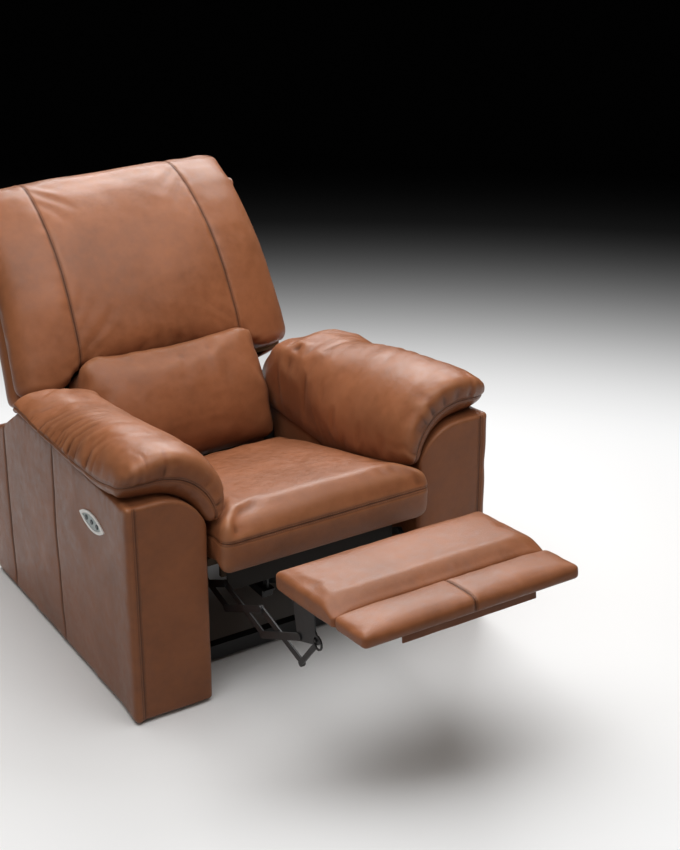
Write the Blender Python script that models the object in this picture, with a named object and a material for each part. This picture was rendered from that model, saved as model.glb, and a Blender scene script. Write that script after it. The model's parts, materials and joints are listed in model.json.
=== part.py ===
"""Power recliner with its footrest out and its back leaned, modelled piece by piece.

Metres, +Z up. The sitter faces -Y and +X is the sitter's left. In the code below a point's
y is measured backwards from the front faces of the arms and z upwards from the floor; the
empty chair_origin then sets the middle of the opened chair over the world's origin.
"""

from math import asin, atan2, cos, pi, radians, sin, sqrt, tan

import bmesh
import bpy
from mathutils import Matrix, Vector

for old in list(bpy.data.objects):
    bpy.data.objects.remove(old, do_unlink=True)

# Driving dimensions of the whole chair
FIT = 0.0003  # gap left where two pieces touch
FRONT_TO_MIDDLE = 0.306  # from the arms' front faces back to the middle of the opened chair

# Arms: upholstered panels with a flat top and a quarter-round inner shoulder
ARM_OUTER_X = 0.500
ARM_INNER_X = 0.297
ARM_DEPTH = 0.904
ARM_BASE_Z = 0.006
ARM_TOP_Z = 0.580
ARM_SHOULDER = 0.124
ARM_EDGE_ROUND = 0.012
ARM_REAR_DROP = ((0.0, 0.0), (ARM_DEPTH - 0.264, 0.0), (ARM_DEPTH - 0.184, 0.055),
                 (ARM_DEPTH - 0.144, 0.085), (ARM_DEPTH, 0.150))
GLIDE_RADIUS = 0.016

# Arm pads
PAD_FRONT_Y = -0.024
PAD_REAR_Y = ARM_DEPTH - 0.114
PAD_ROUND = 0.026
PAD_THICKNESS = ((-0.024, 0.100), (0.06, 0.112), (0.30, 0.092), (0.44, 0.070),
                 (PAD_REAR_Y - 0.220, 0.052), (PAD_REAR_Y - 0.110, 0.052), (PAD_REAR_Y - 0.075, 0.038),
                 (PAD_REAR_Y - 0.026, 0.042), (PAD_REAR_Y, 0.040))
PAD_INNER_SHARE = 0.40  # inner drape's thickness as a share of the crown's
PAD_LIFT = 0.0018  # keeps the pad's straight facets off the arm's round shoulder
PAD_TUCK = (0.070, 0.012)  # how far the front's lower edge lies behind its top, outside and inside
PAD_TUCK_REACH = 0.110
PAD_OVER_SEAT = 0.012
PAD_LOWEST_Z = 0.370
PAD_CUTS = (11, 12, 1)

# Seat
SEAT_HALF_WIDTH = 0.288
SEAT_FRONT_Y = -0.052
SEAT_REAR_Y = ARM_DEPTH - 0.249
SEAT_TOP_Z = 0.497  # top edge at the arms' front faces
SEAT_REAR_FALL = 0.1808  # at most, of the seat's top from the arms' front faces to its rear
SEAT_SLOPE = min(0.276, SEAT_REAR_FALL / SEAT_REAR_Y)
SEAT_NOSE_REACH = 0.055
SEAT_NOSE_WIDEN = 0.017  # of the nose in front of the arms, on each side
SEAT_THICKNESS = 0.120
SEAT_CROWN = 0.016
SEAT_NOSE_BOTTOM_Z = 0.345
SEAT_FRAME_THICKNESS = 0.020
SEAT_FRAME_HALF_WIDTH = 0.270
SEAT_FRAME_FRONT_Y = 0.060

# Base frame
CROSS_RAIL_FRONT_Y = 0.150
CROSS_RAIL_REAR_Y = ARM_DEPTH - 0.069
CROSS_RAIL_DEPTH = 0.025
CROSS_RAIL_Z = (0.010, 0.050)
SIDE_RAIL_X = (0.2603, 0.2903)
SIDE_RAIL_Z = (0.012, 0.037)
STEEL = 0.004  # sheet thickness of plates and links
SIDE_PLATE_Y = (0.150, 0.600)
LINK_SIDE_CLEARANCE = 0.010  # beside the rivet heads of the inner links
FASCIA_Y = 0.024
FASCIA_THICKNESS = 0.010
FASCIA_BOTTOM_Z = 0.279
REAR_PANEL_Y = ARM_DEPTH - 0.028
REAR_PANEL_Z = (0.052, 0.240)
REAR_PANEL_THICKNESS = 0.016

# Footrest: a board that lies 5.8 degrees nose-up when out and hangs upright when closed
BOARD_HALF_WIDTH = 0.2765
BOARD_LENGTH = 0.236
BOARD_THICKNESS = 0.009
BOARD_INSET = 0.018  # of the hidden boards from their pads' edges
BOARD_REAR_TOP = (-0.290, 0.506)  # upper rear edge of the upholstered board
BOARD_RISE = 5.8
REST_HEIGHT = 0.060  # board and pad together
FLIPPER_LENGTH = 0.120
FLIPPER_HEIGHT = 0.045
FLIPPER_GAP = 0.004
FLIPPER_LUG_X = 0.200  # hinge lugs between the two boards, in the gap under the pads' edges
FLIPPER_LUG_WIDTH = 0.008
FLIPPER_EYE_RADIUS = 0.005
FLIPPER_PIN_RADIUS = 0.003
BOARD_TURN = 95.8  # from out to closed
FLAP_HALF_WIDTH = 0.125
FLAP_HEIGHT = 0.009
FLAP_SETBACK = 0.022  # of the hanging flap from the flipper's front edge
CLOSED_BACK_Y = 0.015  # rear face and top edge of the board when it hangs upright
CLOSED_TOP_Z = 0.335

# Scissor linkage: three stages of crossed links on each side
LINK_LENGTH = 0.190
LINK_WIDTH = 0.018
LINK_OPEN_ANGLE = 20.0
LINK_SWING = 62.2
PIN_RADIUS = 0.004
PIN_CLEARANCE = 0.0006
RIVET_RADIUS = 0.0075
RIVET_HEIGHT = 0.0025
BRACKET_DROP = 0.100  # last pivot below the board's underside
BRACKET_SETBACK = 0.035  # last pivot in front of the board's rear edge
LUG_ALONG, LUG_BELOW = 0.109, 0.080  # the bracket's lug, from the board's rear edge and underside
LUG_RADIUS = 0.011
TILT_LINK_LENGTH = 0.118
TILT_LINK_ANGLE = 225.18  # from the scissor's depth line, when out
TILT_LINK_PLAY = 0.0105  # lost motion in the open pivot's eye
TILT_EYE_WALL = 0.0038
TILT_BAR_HALF = 0.0065  # slim, so that the folding flipper passes it
TUBE_RADIUS = 0.010
# Planes of the linkage, from the side plate inwards
PLATE_X = (SIDE_RAIL_X[0] - FIT - STEEL, SIDE_RAIL_X[0] - FIT)
OUTER_LINK_X = (PLATE_X[0] - FIT - STEEL, PLATE_X[0] - FIT)
INNER_LINK_X = (OUTER_LINK_X[0] - FIT - STEEL, OUTER_LINK_X[0] - FIT)
FASCIA_HALF_WIDTH = INNER_LINK_X[0] - RIVET_HEIGHT - LINK_SIDE_CLEARANCE
FASCIA_TAB_HALF = FASCIA_HALF_WIDTH / 12

BACK_PLATE_X = (SIDE_RAIL_X[1] - STEEL, SIDE_RAIL_X[1])  # the back's hinge plates

# Powered rails
RAIL_X = 0.070
RAIL_HALF_WIDTH = 0.015
RAIL_Z = (0.160, 0.180)
CRANK_LENGTH = 0.100
CRANK_THICKNESS = 0.006
CRANK_TIP_RADIUS = 0.006  # narrow enough to pass over the drive block
LUG_HALF = 0.003  # half the thickness of a drive block's slotted lug
FOOT_RAIL_Y = (0.130, 0.470)
BACK_RAIL_Y = (ARM_DEPTH - 0.504, ARM_DEPTH - 0.094)
MOTOR_BOX = (0.062, 0.080, 0.044)
MOTOR_RADIUS = 0.026
MOTOR_LENGTH = 0.085
MID_TUBE_Y = 0.560
MID_TUBE_RADIUS = 0.0125
BLOCK_LENGTH = 0.044
BLOCK_HEIGHT = 0.010

# Back: hinged low between the arms, drawn upright and then leaned
HINGE_Y, HINGE_Z = ARM_DEPTH - 0.149, 0.300
BACK_LEAN = 30.0
BACK_HALF_WIDTH = 0.380
BACK_RANGE = (-8.0, 18.0)  # degrees either way of the lean shown; positive is towards upright
BACK_BOTTOM = 0.250  # along the back from the hinge
BACK_PLANE = 0.022  # front of the back's frame
FRAME_TOP = 0.742
SHOULDER_TOP = 0.7445  # underside of the part of the cushion that rolls over the frame
# Section of the back cushion, (depth, height) from the hinge, from its lower rear edge round the front
CUSHION_SECTION = ((0.0217, 0.256), (0.010, 0.250), (-0.030, 0.2505), (-0.062, 0.258),
                   (-0.084, 0.278), (-0.098, 0.3175), (-0.108, 0.385), (-0.1095, 0.459),
                   (-0.104, 0.530), (-0.091, 0.5895), (-0.068, 0.655), (-0.0335, 0.722),
                   (0.004, 0.775), (0.040, 0.812), (0.078, 0.8315), (0.105, 0.826),
                   (0.124, 0.806), (0.130, 0.780), (0.120, 0.757), (0.100, SHOULDER_TOP),
                   (0.0217, SHOULDER_TOP), (0.0217, 0.660), (0.0217, 0.540), (0.0217, 0.400))
CUSHION_LINES = (0.0, 0.07, 0.14, 0.20, 0.229, 0.258, 0.30)  # x of its section lines
CUSHION_SIDE_ROUND = 0.045
CUSHION_WIDEN = ((0.25, 1.06), (0.83, 0.984))  # width by height, as a share of BACK_HALF_WIDTH
CUSHION_ARCH = 0.018  # rise of the lower edge between the wings
CUSHION_SIDE_FALL = 0.050
BACK_SEAM_X = 0.229
BACK_SEAM_DENT = 0.006
FRAME_THICKNESS = 0.024
REAR_COVER_THICKNESS = 0.046
LUMBAR_HALF_WIDTH = 0.263
LUMBAR_BOTTOM = -0.030
LUMBAR_FRONT = -0.128
LUMBAR_CROWN = 0.040
LUMBAR_GAP = 0.005  # under the back cushion's lower edge
LUMBAR_RISE = 0.030  # of its top in front of that edge
HINGE_PIN_RADIUS = 0.006
HINGE_EYE_RADIUS = 0.024
BACK_PLATE_TOP = 0.064  # of the hinge plates, low enough to pass under the arm pads' inner edges

# Switch in the outer side of the -X arm
SWITCH_Y, SWITCH_Z = 0.202, 0.4615
SWITCH_LENGTH, SWITCH_HEIGHT = 0.139, 0.048
SWITCH_RIM = 0.0065
SWITCH_PROUD = 0.0030
SWITCH_DEPTH = 0.012
BUTTON_RADIUS = 0.0062
BUTTON_SPACING = 0.030
BUTTON_PROUD = 0.0020
BUTTON_TRAVEL = 0.0012

# Power inlet in the rear panel
INLET_RADIUS = 0.011
INLET_X, INLET_Z = 0.150, 0.150


def material(name, colour, roughness, metallic=0.0):
    made = bpy.data.materials.new(name)
    made.use_nodes = True
    shader = made.node_tree.nodes["Principled BSDF"]
    shader.inputs["Base Color"].default_value = (*colour, 1.0)
    shader.inputs["Roughness"].default_value = roughness
    shader.inputs["Metallic"].default_value = metallic
    made.diffuse_color = (*colour, 1.0)
    return made


LEATHER = material("brown_leather", (0.30, 0.125, 0.065), 0.45)
BLACK_STEEL = material("black_steel", (0.018, 0.018, 0.020), 0.40, 1.0)
BLACK_CLOTH = material("black_cloth", (0.012, 0.011, 0.011), 0.90)
BLACK_BOARD = material("black_board", (0.020, 0.018, 0.017), 0.70)
PLYWOOD = material("plywood", (0.46, 0.33, 0.20), 0.70)
SILVER = material("silver_trim", (0.78, 0.77, 0.74), 0.25, 1.0)
SWITCH_FACE = material("switch_face", (0.36, 0.43, 0.43), 0.35)
BLACK_PLASTIC = material("black_plastic", (0.02, 0.02, 0.022), 0.50)

chair_origin = bpy.data.objects.new("chair_origin", None)
bpy.context.collection.objects.link(chair_origin)
chair_origin.location = (0.0, -FRONT_TO_MIDDLE, 0.0)


def pivot(name, y, z, parent=chair_origin, lean=0.0):
    """An empty on a joint's axis; pieces that turn there are its children."""
    empty = bpy.data.objects.new(name, None)
    bpy.context.collection.objects.link(empty)
    empty.parent = parent
    empty.location = (0.0, y, z)
    empty.rotation_euler = (-radians(lean), 0.0, 0.0)
    return empty


def face_outwards(bm):
    """Makes a closed mesh's faces agree and point out of its volume."""
    bmesh.ops.recalc_face_normals(bm, faces=bm.faces[:])
    if bm.calc_volume(signed=True) < 0:
        bmesh.ops.reverse_faces(bm, faces=bm.faces[:])


def finish(name, bm, finish_material, parent, origin=(0.0, 0.0, 0.0)):
    """Turns a bmesh into the named object; origin is the parent's place in the mesh's frame."""
    face_outwards(bm)
    bmesh.ops.translate(bm, verts=bm.verts[:], vec=-Vector(origin))
    mesh = bpy.data.meshes.new(name)
    bm.to_mesh(mesh)
    bm.free()
    mesh.shade_smooth()
    mesh.set_sharp_from_angle(angle=radians(38))
    mesh.materials.append(finish_material)
    made = bpy.data.objects.new(name, mesh)
    bpy.context.collection.objects.link(made)
    made.parent = parent
    return made


def add_prism(bm, outline, low_x, high_x, holes=()):
    """A plate parallel to the YZ plane; its outline and holes are loops of (y, z)."""
    for x in (low_x, high_x):
        loops = []
        for loop in (outline, *holes):
            verts = [bm.verts.new((x, y, z)) for y, z in loop]
            loops.append([bm.edges.new((a, b)) for a, b in zip(verts, verts[1:] + verts[:1])])
        edges = [edge for loop in loops for edge in loop]
        if holes:
            bmesh.ops.triangle_fill(bm, edges=edges, use_beauty=True)
        else:
            bm.faces.new([edge.verts[0] for edge in loops[0]])
        if x == low_x:
            first = loops
    for low_loop, high_loop in zip(first, loops):
        for low, high in zip(low_loop, high_loop):
            bm.faces.new((low.verts[0], low.verts[1], high.verts[1], high.verts[0]))


def add_box(bm, low, high):
    lo, hi = Vector(low), Vector(high)
    corners = [bm.verts.new((x, y, z)) for z in (lo.z, hi.z) for y in (lo.y, hi.y) for x in (lo.x, hi.x)]
    for face in ((0, 2, 3, 1), (4, 5, 7, 6), (0, 1, 5, 4), (2, 6, 7, 3), (0, 4, 6, 2), (1, 3, 7, 5)):
        bm.faces.new([corners[i] for i in face])


def add_tube(bm, start, end, radius, segments=16):
    """A solid round bar from start to end."""
    axis = Vector(end) - Vector(start)
    turn = axis.to_track_quat("Z", "Y").to_matrix().to_4x4()
    place = Matrix.Translation((Vector(start) + Vector(end)) / 2) @ turn
    bmesh.ops.create_cone(bm, cap_ends=True, segments=segments, radius1=radius, radius2=radius,
                          depth=axis.length, matrix=place)


def circle(y, z, radius, segments=16):
    return [(y + radius * cos(2 * pi * i / segments), z + radius * sin(2 * pi * i / segments))
            for i in range(segments)]


def stadium(a, b, radius, steps=6):
    """Outline of a bar with round ends about the points a and b, both (y, z)."""
    heading = atan2(b[1] - a[1], b[0] - a[0])
    points = []
    for centre, start in ((b, heading - pi / 2), (a, heading + pi / 2)):
        for i in range(steps + 1):
            angle = start + pi * i / steps
            points.append((centre[0] + radius * cos(angle), centre[1] + radius * sin(angle)))
    return points


def boolean(target, cutter_bm, operation="DIFFERENCE"):
    """Cuts or joins a bmesh's shape in the target's own frame and applies the result."""
    mesh = bpy.data.meshes.new("tool")
    face_outwards(cutter_bm)
    cutter_bm.to_mesh(mesh)
    cutter_bm.free()
    tool = bpy.data.objects.new("tool", mesh)
    bpy.context.collection.objects.link(tool)
    kept_parent, kept_place = target.parent, target.matrix_basis.copy()
    target.parent = None
    target.matrix_basis = Matrix.Identity(4)
    step = target.modifiers.new("boolean", "BOOLEAN")
    step.operation = operation
    step.object = tool
    bpy.context.view_layer.update()
    graph = bpy.context.evaluated_depsgraph_get()
    result = bpy.data.meshes.new_from_object(target.evaluated_get(graph))
    target.modifiers.remove(step)
    old_mesh = target.data
    target.data = result
    bpy.data.meshes.remove(old_mesh)
    target.parent, target.matrix_basis = kept_parent, kept_place
    bpy.data.objects.remove(tool, do_unlink=True)
    return target


def curve_value(table, at):
    """Straight-line reading of a short table of (position, value)."""
    if at <= table[0][0]:
        return table[0][1]
    for (a, low), (b, high) in zip(table, table[1:]):
        if at <= b:
            return low + (high - low) * (at - a) / (b - a)
    return table[-1][1]


def grid_lines(half, radius, cuts):
    """Places of a block's grid lines along one side: close together in the rounded ends."""
    flat = half - radius
    ends = [flat + radius * tan(radians(22.5)), half]
    middle = [-flat + 2 * flat * i / cuts for i in range(cuts + 1)]
    return [-value for value in reversed(ends)] + middle + ends


def soft_block(name, half_size, radius, cuts, shape, finish_material, parent, origin=(0, 0, 0)):
    """A closed block with rounded edges, gridded for bending; shape moves each point."""
    lines = [grid_lines(half, radius, cut) for half, cut in zip(half_size, cuts)]
    bm = bmesh.new()
    known = {}

    def vertex(corner):
        if corner not in known:
            point = Vector([lines[axis][corner[axis]] for axis in range(3)])
            inner = Vector([max(-(h - radius), min(h - radius, p)) for h, p in zip(half_size, point)])
            out = point - inner
            if out.length > 0:
                point = inner + out.normalized() * radius
            known[corner] = bm.verts.new(shape(*point))
        return known[corner]

    for axis in range(3):
        u, v = (axis + 1) % 3, (axis + 2) % 3
        for side in (0, len(lines[axis]) - 1):
            for i in range(len(lines[u]) - 1):
                for j in range(len(lines[v]) - 1):
                    corners = []
                    for di, dj in ((0, 0), (1, 0), (1, 1), (0, 1)):
                        corner = [0, 0, 0]
                        corner[axis], corner[u], corner[v] = side, i + di, j + dj
                        corners.append(vertex(tuple(corner)))
                    bm.faces.new(corners)
    return finish(name, bm, finish_material, parent, origin)


def loft(name, sections, finish_material, parent, origin=(0, 0, 0)):
    """A closed skin over rings of points that all hold the same number of points."""
    bm = bmesh.new()
    rings = [[bm.verts.new(point) for point in section] for section in sections]
    for ring, following in zip(rings, rings[1:]):
        for i in range(len(ring)):
            j = (i + 1) % len(ring)
            bm.faces.new((ring[i], ring[j], following[j], following[i]))
    caps = [bm.faces.new(rings[0]), bm.faces.new(rings[-1])]
    bmesh.ops.triangulate(bm, faces=caps)
    return finish(name, bm, finish_material, parent, origin)


SIDES = (("left", 1.0), ("right", -1.0))


def span(side, low, high):
    """Two x values on the given side of the chair, in rising order."""
    return tuple(sorted((side * low, side * high)))


def build_arm(label, side):
    """One arm: the same profile swept from front to rear, its top falling behind the pad."""
    def ring(y, inset):
        drop = curve_value(ARM_REAR_DROP, y)
        top = ARM_TOP_Z - drop - inset
        outer = ARM_OUTER_X - inset
        inner = ARM_INNER_X + inset
        points = [(outer, ARM_BASE_Z), (outer, top - ARM_EDGE_ROUND),
                  (outer - ARM_EDGE_ROUND * (1 - sqrt(0.5)), top - ARM_EDGE_ROUND * (1 - sqrt(0.5))),
                  (outer - ARM_EDGE_ROUND, top)]
        shoulder = ARM_SHOULDER - inset
        for i in range(7):
            angle = (pi / 2) * i / 6
            points.append((inner + shoulder * (1 - sin(angle)), top - shoulder * (1 - cos(angle))))
        points.append((inner, ARM_BASE_Z))
        return [(side * x, y, z) for x, z in points]

    rounding = 0.006
    sections = [ring(0.0, rounding), ring(rounding, 0.0)]
    sections += [ring(y, 0.0) for y in pad_lines() if 0.05 < y < ARM_DEPTH - 0.05]
    sections += [ring(ARM_DEPTH - rounding, 0.0), ring(ARM_DEPTH, rounding)]
    arm = loft(f"arm_{label}", sections, LEATHER, chair_origin)
    for end, y in (("front", 0.080), ("rear", ARM_DEPTH - 0.080)):
        bm = bmesh.new()
        x = side * (ARM_OUTER_X + ARM_INNER_X) / 2
        add_tube(bm, (x, y, 0.0), (x, y, ARM_BASE_Z - FIT), GLIDE_RADIUS, 12)
        finish(f"glide_{end}_{label}", bm, BLACK_PLASTIC, chair_origin)
    return arm


def pad_lines():
    """Where the pad's grid crosses the arm, so that the arm's rings lie under its lines."""
    middle, half = (PAD_REAR_Y + PAD_FRONT_Y) / 2, (PAD_REAR_Y - PAD_FRONT_Y) / 2
    return [middle + line for line in grid_lines(half, PAD_ROUND, PAD_CUTS[1])]


def build_arm_pad(label, side):
    """A crowned pad laid over the arm's flat top and shoulder, down to the seat's edge."""
    flat = ARM_OUTER_X - ARM_INNER_X - ARM_SHOULDER
    arc = ARM_SHOULDER * pi / 2

    def path(distance, drop):
        """Point and outward normal on the arm's top at a distance in from its outer edge."""
        top = ARM_TOP_Z - drop
        if distance <= flat:
            return ARM_OUTER_X - distance, top, 0.0, 1.0
        if distance <= flat + arc:
            angle = (distance - flat) / ARM_SHOULDER
            x = ARM_INNER_X + ARM_SHOULDER * (1 - sin(angle))
            return x, top - ARM_SHOULDER * (1 - cos(angle)), -sin(angle), cos(angle)
        return ARM_INNER_X, top - ARM_SHOULDER - (distance - flat - arc), -1.0, 0.0

    def reach(y, drop):
        """Length of the pad's way over the arm, from outer edge to just above the seat."""
        edge = max(seat_top(y) + PAD_OVER_SEAT, PAD_LOWEST_Z)
        shoulder_end = ARM_TOP_Z - drop - ARM_SHOULDER
        if edge <= shoulder_end:
            return flat + arc + shoulder_end - edge
        fall = (ARM_TOP_Z - drop - edge) / ARM_SHOULDER
        return flat + ARM_SHOULDER * atan2(sqrt(1 - (1 - fall) ** 2), 1 - fall)

    middle_y = (PAD_REAR_Y + PAD_FRONT_Y) / 2
    block = (0.150, (PAD_REAR_Y - PAD_FRONT_Y) / 2, 0.045)

    def shape(across, along, up):
        y = middle_y + along
        share = (across / block[0] + 1) / 2
        height = (up / block[2] + 1) / 2
        drop = curve_value(ARM_REAR_DROP, y)
        x, z, nx, nz = path(share * reach(max(y, 0.0), drop), drop)
        thick = curve_value(PAD_THICKNESS, y)
        thick *= 1.0 - (1.0 - PAD_INNER_SHARE) * max(0.0, (share - 0.45) / 0.55) ** 1.6
        thick *= 0.66 + 0.34 * min(1.0, sin(pi * min(share / 0.9, 0.5)) + 0.05)
        lift = PAD_LIFT + thick * height
        tuck = PAD_TUCK[0] + (PAD_TUCK[1] - PAD_TUCK[0]) * share
        y += tuck * (1 - height) * max(0.0, 1 - (y - PAD_FRONT_Y) / PAD_TUCK_REACH)
        return side * (x + nx * lift), y, z + nz * lift

    return soft_block(f"arm_pad_{label}", block, PAD_ROUND, PAD_CUTS, shape, LEATHER, chair_origin)


def seat_top(y):
    """Height of the seat's side edge."""
    return SEAT_TOP_Z - SEAT_SLOPE * y


def build_seat():
    """Crowned cushion with a deep rolled nose, on a sloping frame between the side plates."""
    half = (SEAT_HALF_WIDTH, (SEAT_REAR_Y - SEAT_FRONT_Y) / 2, SEAT_THICKNESS / 2)
    middle_y = (SEAT_REAR_Y + SEAT_FRONT_Y) / 2

    def shape(x, along, up):
        y = middle_y + along
        height = (up / half[2] + 1) / 2
        z = seat_top(y) - SEAT_THICKNESS * (1 - height)
        flat = (1 - (x / half[0]) ** 4) * (1 - (along / half[1]) ** 4)
        z += SEAT_CROWN * height * flat
        nose = max(0.0, 1 - (y - SEAT_FRONT_Y) / SEAT_NOSE_REACH)
        z -= (1 - height) * nose * (seat_top(y) - SEAT_THICKNESS - SEAT_NOSE_BOTTOM_Z)
        draw_in = 0.006 * (1 - (2 * height - 1) ** 2) - SEAT_NOSE_WIDEN * nose ** 2
        return x * (1 - draw_in / half[0]), y - nose * 0.012 * (height - 0.5), z

    soft_block("seat_cushion", half, 0.034, (8, 10, 1), shape, LEATHER, chair_origin)

    front, rear = SEAT_FRAME_FRONT_Y, SEAT_REAR_Y - 0.030
    top_gap = SEAT_THICKNESS + FIT
    low_gap = top_gap + SEAT_FRAME_THICKNESS
    outline = [(front, seat_top(front) - top_gap), (rear, seat_top(rear) - top_gap),
               (rear, seat_top(rear) - low_gap), (front, seat_top(front) - low_gap)]
    bm = bmesh.new()
    add_prism(bm, outline, -SEAT_FRAME_HALF_WIDTH, SEAT_FRAME_HALF_WIDTH)
    frame = finish("seat_frame", bm, PLYWOOD, chair_origin)
    apron = bmesh.new()
    add_box(apron, (-FASCIA_HALF_WIDTH, front, FASCIA_BOTTOM_Z + 0.020),
            (FASCIA_HALF_WIDTH, front + 0.012, seat_top(front) - top_gap - 0.008))
    boolean(frame, apron, "UNION")

    bm = bmesh.new()
    fascia_top = SEAT_NOSE_BOTTOM_Z - FIT
    add_box(bm, (-FASCIA_HALF_WIDTH, FASCIA_Y, FASCIA_BOTTOM_Z),
            (FASCIA_HALF_WIDTH, FASCIA_Y + FASCIA_THICKNESS, fascia_top))
    fascia = finish("front_fascia", bm, BLACK_CLOTH, chair_origin)
    for x in (-2 * FASCIA_HALF_WIDTH / 3, 0.0, 2 * FASCIA_HALF_WIDTH / 3):
        tab = bmesh.new()
        add_box(tab, (x - FASCIA_TAB_HALF, FASCIA_Y + 0.004, fascia_top - 0.030),
                (x + FASCIA_TAB_HALF, front - FIT, fascia_top - 0.006))
        boolean(fascia, tab, "UNION")


def seat_frame_under(y):
    return seat_top(y) - SEAT_THICKNESS - SEAT_FRAME_THICKNESS - 2 * FIT


# Where the scissor linkage lies, in side view (y, z)
DIRECTION = Vector((-cos(radians(BOARD_RISE)), sin(radians(BOARD_RISE))))
UP = Vector((sin(radians(BOARD_RISE)), cos(radians(BOARD_RISE))))
BOARD_UNDER_REAR = Vector(BOARD_REAR_TOP) - REST_HEIGHT * UP
LAST_PIVOT = BOARD_UNDER_REAR + BRACKET_SETBACK * DIRECTION - BRACKET_DROP * UP


def turned(vector, degrees):
    """A side-view vector turned about +X, which carries +Y towards +Z."""
    angle = radians(degrees)
    return Vector((vector.x * cos(angle) - vector.y * sin(angle),
                   vector.x * sin(angle) + vector.y * cos(angle)))


def closed_last_pivot():
    """The last pivot when the board hangs upright with its face under the seat's nose."""
    under = turned(UP, BOARD_TURN)
    along = turned(DIRECTION, BOARD_TURN)
    top_corner = Vector((CLOSED_BACK_Y, CLOSED_TOP_Z))
    return top_corner + BRACKET_SETBACK * along - BRACKET_DROP * under


TRAVEL = LAST_PIVOT - closed_last_pivot()
AXIS = TRAVEL.normalized()  # line on which all upper pivots lie
ACROSS = Vector((-AXIS.y, AXIS.x)) if AXIS.x > 0 else Vector((AXIS.y, -AXIS.x))
OPEN = radians(LINK_OPEN_ANGLE)
SHUT = OPEN + radians(LINK_SWING)
STAGE_OPEN = LINK_LENGTH * cos(OPEN)
FIRST_PIVOT = LAST_PIVOT - 3 * STAGE_OPEN * AXIS
DEPTH_OPEN = LINK_LENGTH * sin(OPEN)
DEPTH_SHUT = LINK_LENGTH * sin(SHUT)


def upper_pivot(stage):
    return FIRST_PIVOT + stage * STAGE_OPEN * AXIS


def lower_pivot(stage):
    return upper_pivot(stage) - DEPTH_OPEN * ACROSS


def add_rivet(bm, side, at, reach_x):
    """A rivet on an inner link: a head inboard and a shank out to reach_x."""
    add_tube(bm, (side * (INNER_LINK_X[0] - RIVET_HEIGHT), at.x, at.y),
             (side * (INNER_LINK_X[0] + 0.001), at.x, at.y), RIVET_RADIUS, 12)
    shank = bmesh.new()
    add_tube(shank, (side * (INNER_LINK_X[0] - RIVET_HEIGHT / 2), at.x, at.y),
             (side * reach_x, at.x, at.y), PIN_RADIUS, 12)
    return shank


def build_inner_link(name, side, start, end, parent, origin, reaches):
    """A link in the inner plane that carries its rivets; reaches gives each shank's far x."""
    middle = (start + end) / 2
    low, high = span(side, *INNER_LINK_X)
    bm = bmesh.new()
    add_prism(bm, stadium(start, end, LINK_WIDTH / 2), low, high)
    link = finish(name, bm, BLACK_STEEL, parent, (0.0, origin.x, origin.y))
    for at, reach_x in zip((start, middle, end), reaches):
        head = bmesh.new()
        shank = add_rivet(head, side, at, reach_x)
        for tool in (head, shank):
            bmesh.ops.translate(tool, verts=tool.verts[:], vec=(0.0, -origin.x, -origin.y))
            boolean(link, tool, "UNION")
    return link


def build_outer_link(name, side, start, end, parent, origin, slider=False):
    """A link in the outer plane with three holes, or a slider stud in place of the first."""
    middle = (start + end) / 2
    low, high = span(side, *OUTER_LINK_X)
    eye = PIN_RADIUS + PIN_CLEARANCE
    places = (middle, end) if slider else (start, middle, end)
    bm = bmesh.new()
    holes = [circle(at.x, at.y, eye) for at in places]
    add_prism(bm, stadium(start, end, LINK_WIDTH / 2), low, high, holes)
    link = finish(name, bm, BLACK_STEEL, parent, (0.0, origin.x, origin.y))
    if slider:
        stud = bmesh.new()
        add_tube(stud, (side * (OUTER_LINK_X[0] + 0.001), start.x - origin.x, start.y - origin.y),
                 (side * PLATE_X[1], start.x - origin.x, start.y - origin.y), PIN_RADIUS, 12)
        boolean(link, stud, "UNION")
    return link


def build_scissors():
    """Three crossed stages on each side, with a tube and a crank that turn the first links."""
    up, low = [upper_pivot(i) for i in range(4)], [lower_pivot(i) for i in range(4)]
    empties = {}
    empties["a_down"] = pivot("axis_footrest_drive", *up[0])
    middles = [(up[i] + low[i + 1]) / 2 for i in range(3)]
    places = {"a_up": middles[0], "b_up": low[1], "b_down": middles[1], "c_down": up[2], "c_up": middles[2]}
    for key, at in places.items():
        empties[key] = pivot(f"axis_link_{key}", *at)
    outer_face, plate_face = OUTER_LINK_X[1], PLATE_X[1]
    for label, side in SIDES:
        for stage, letter in enumerate("abc"):
            down, upward = f"{letter}_down", f"{letter}_up"
            origin = up[0] if letter == "a" else places[down]
            first = plate_face if letter == "a" else outer_face
            build_inner_link(f"link_{down}_{label}", side, up[stage], low[stage + 1],
                             empties[down], origin, (first, outer_face, outer_face))
            build_outer_link(f"link_{upward}_{label}", side, low[stage], up[stage + 1],
                             empties[upward], places[upward], slider=letter == "a")
    build_torque_tube(empties["a_down"], up[0])
    build_tilt_links(up[3], low[3])
    return empties


def crank_direction(swing_from, swing_to):
    """Straight down at mid swing, so the crank's pin stays level."""
    return turned(Vector((0.0, -1.0)), -(swing_from + swing_to) / 2)


def build_torque_tube(parent, axis_at):
    """The tube between the first links, with the crank that the footrest's rail pushes."""
    end_x = INNER_LINK_X[0] - RIVET_HEIGHT - FIT
    tip = axis_at + CRANK_LENGTH * crank_direction(0.0, LINK_SWING)
    bm = bmesh.new()
    add_tube(bm, (-end_x, axis_at.x, axis_at.y), (end_x, axis_at.x, axis_at.y), TUBE_RADIUS)
    tube = finish("footrest_drive_tube", bm, BLACK_STEEL, parent, (0.0, axis_at.x, axis_at.y))
    add_crank(tube, -RAIL_X, axis_at, tip)


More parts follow.
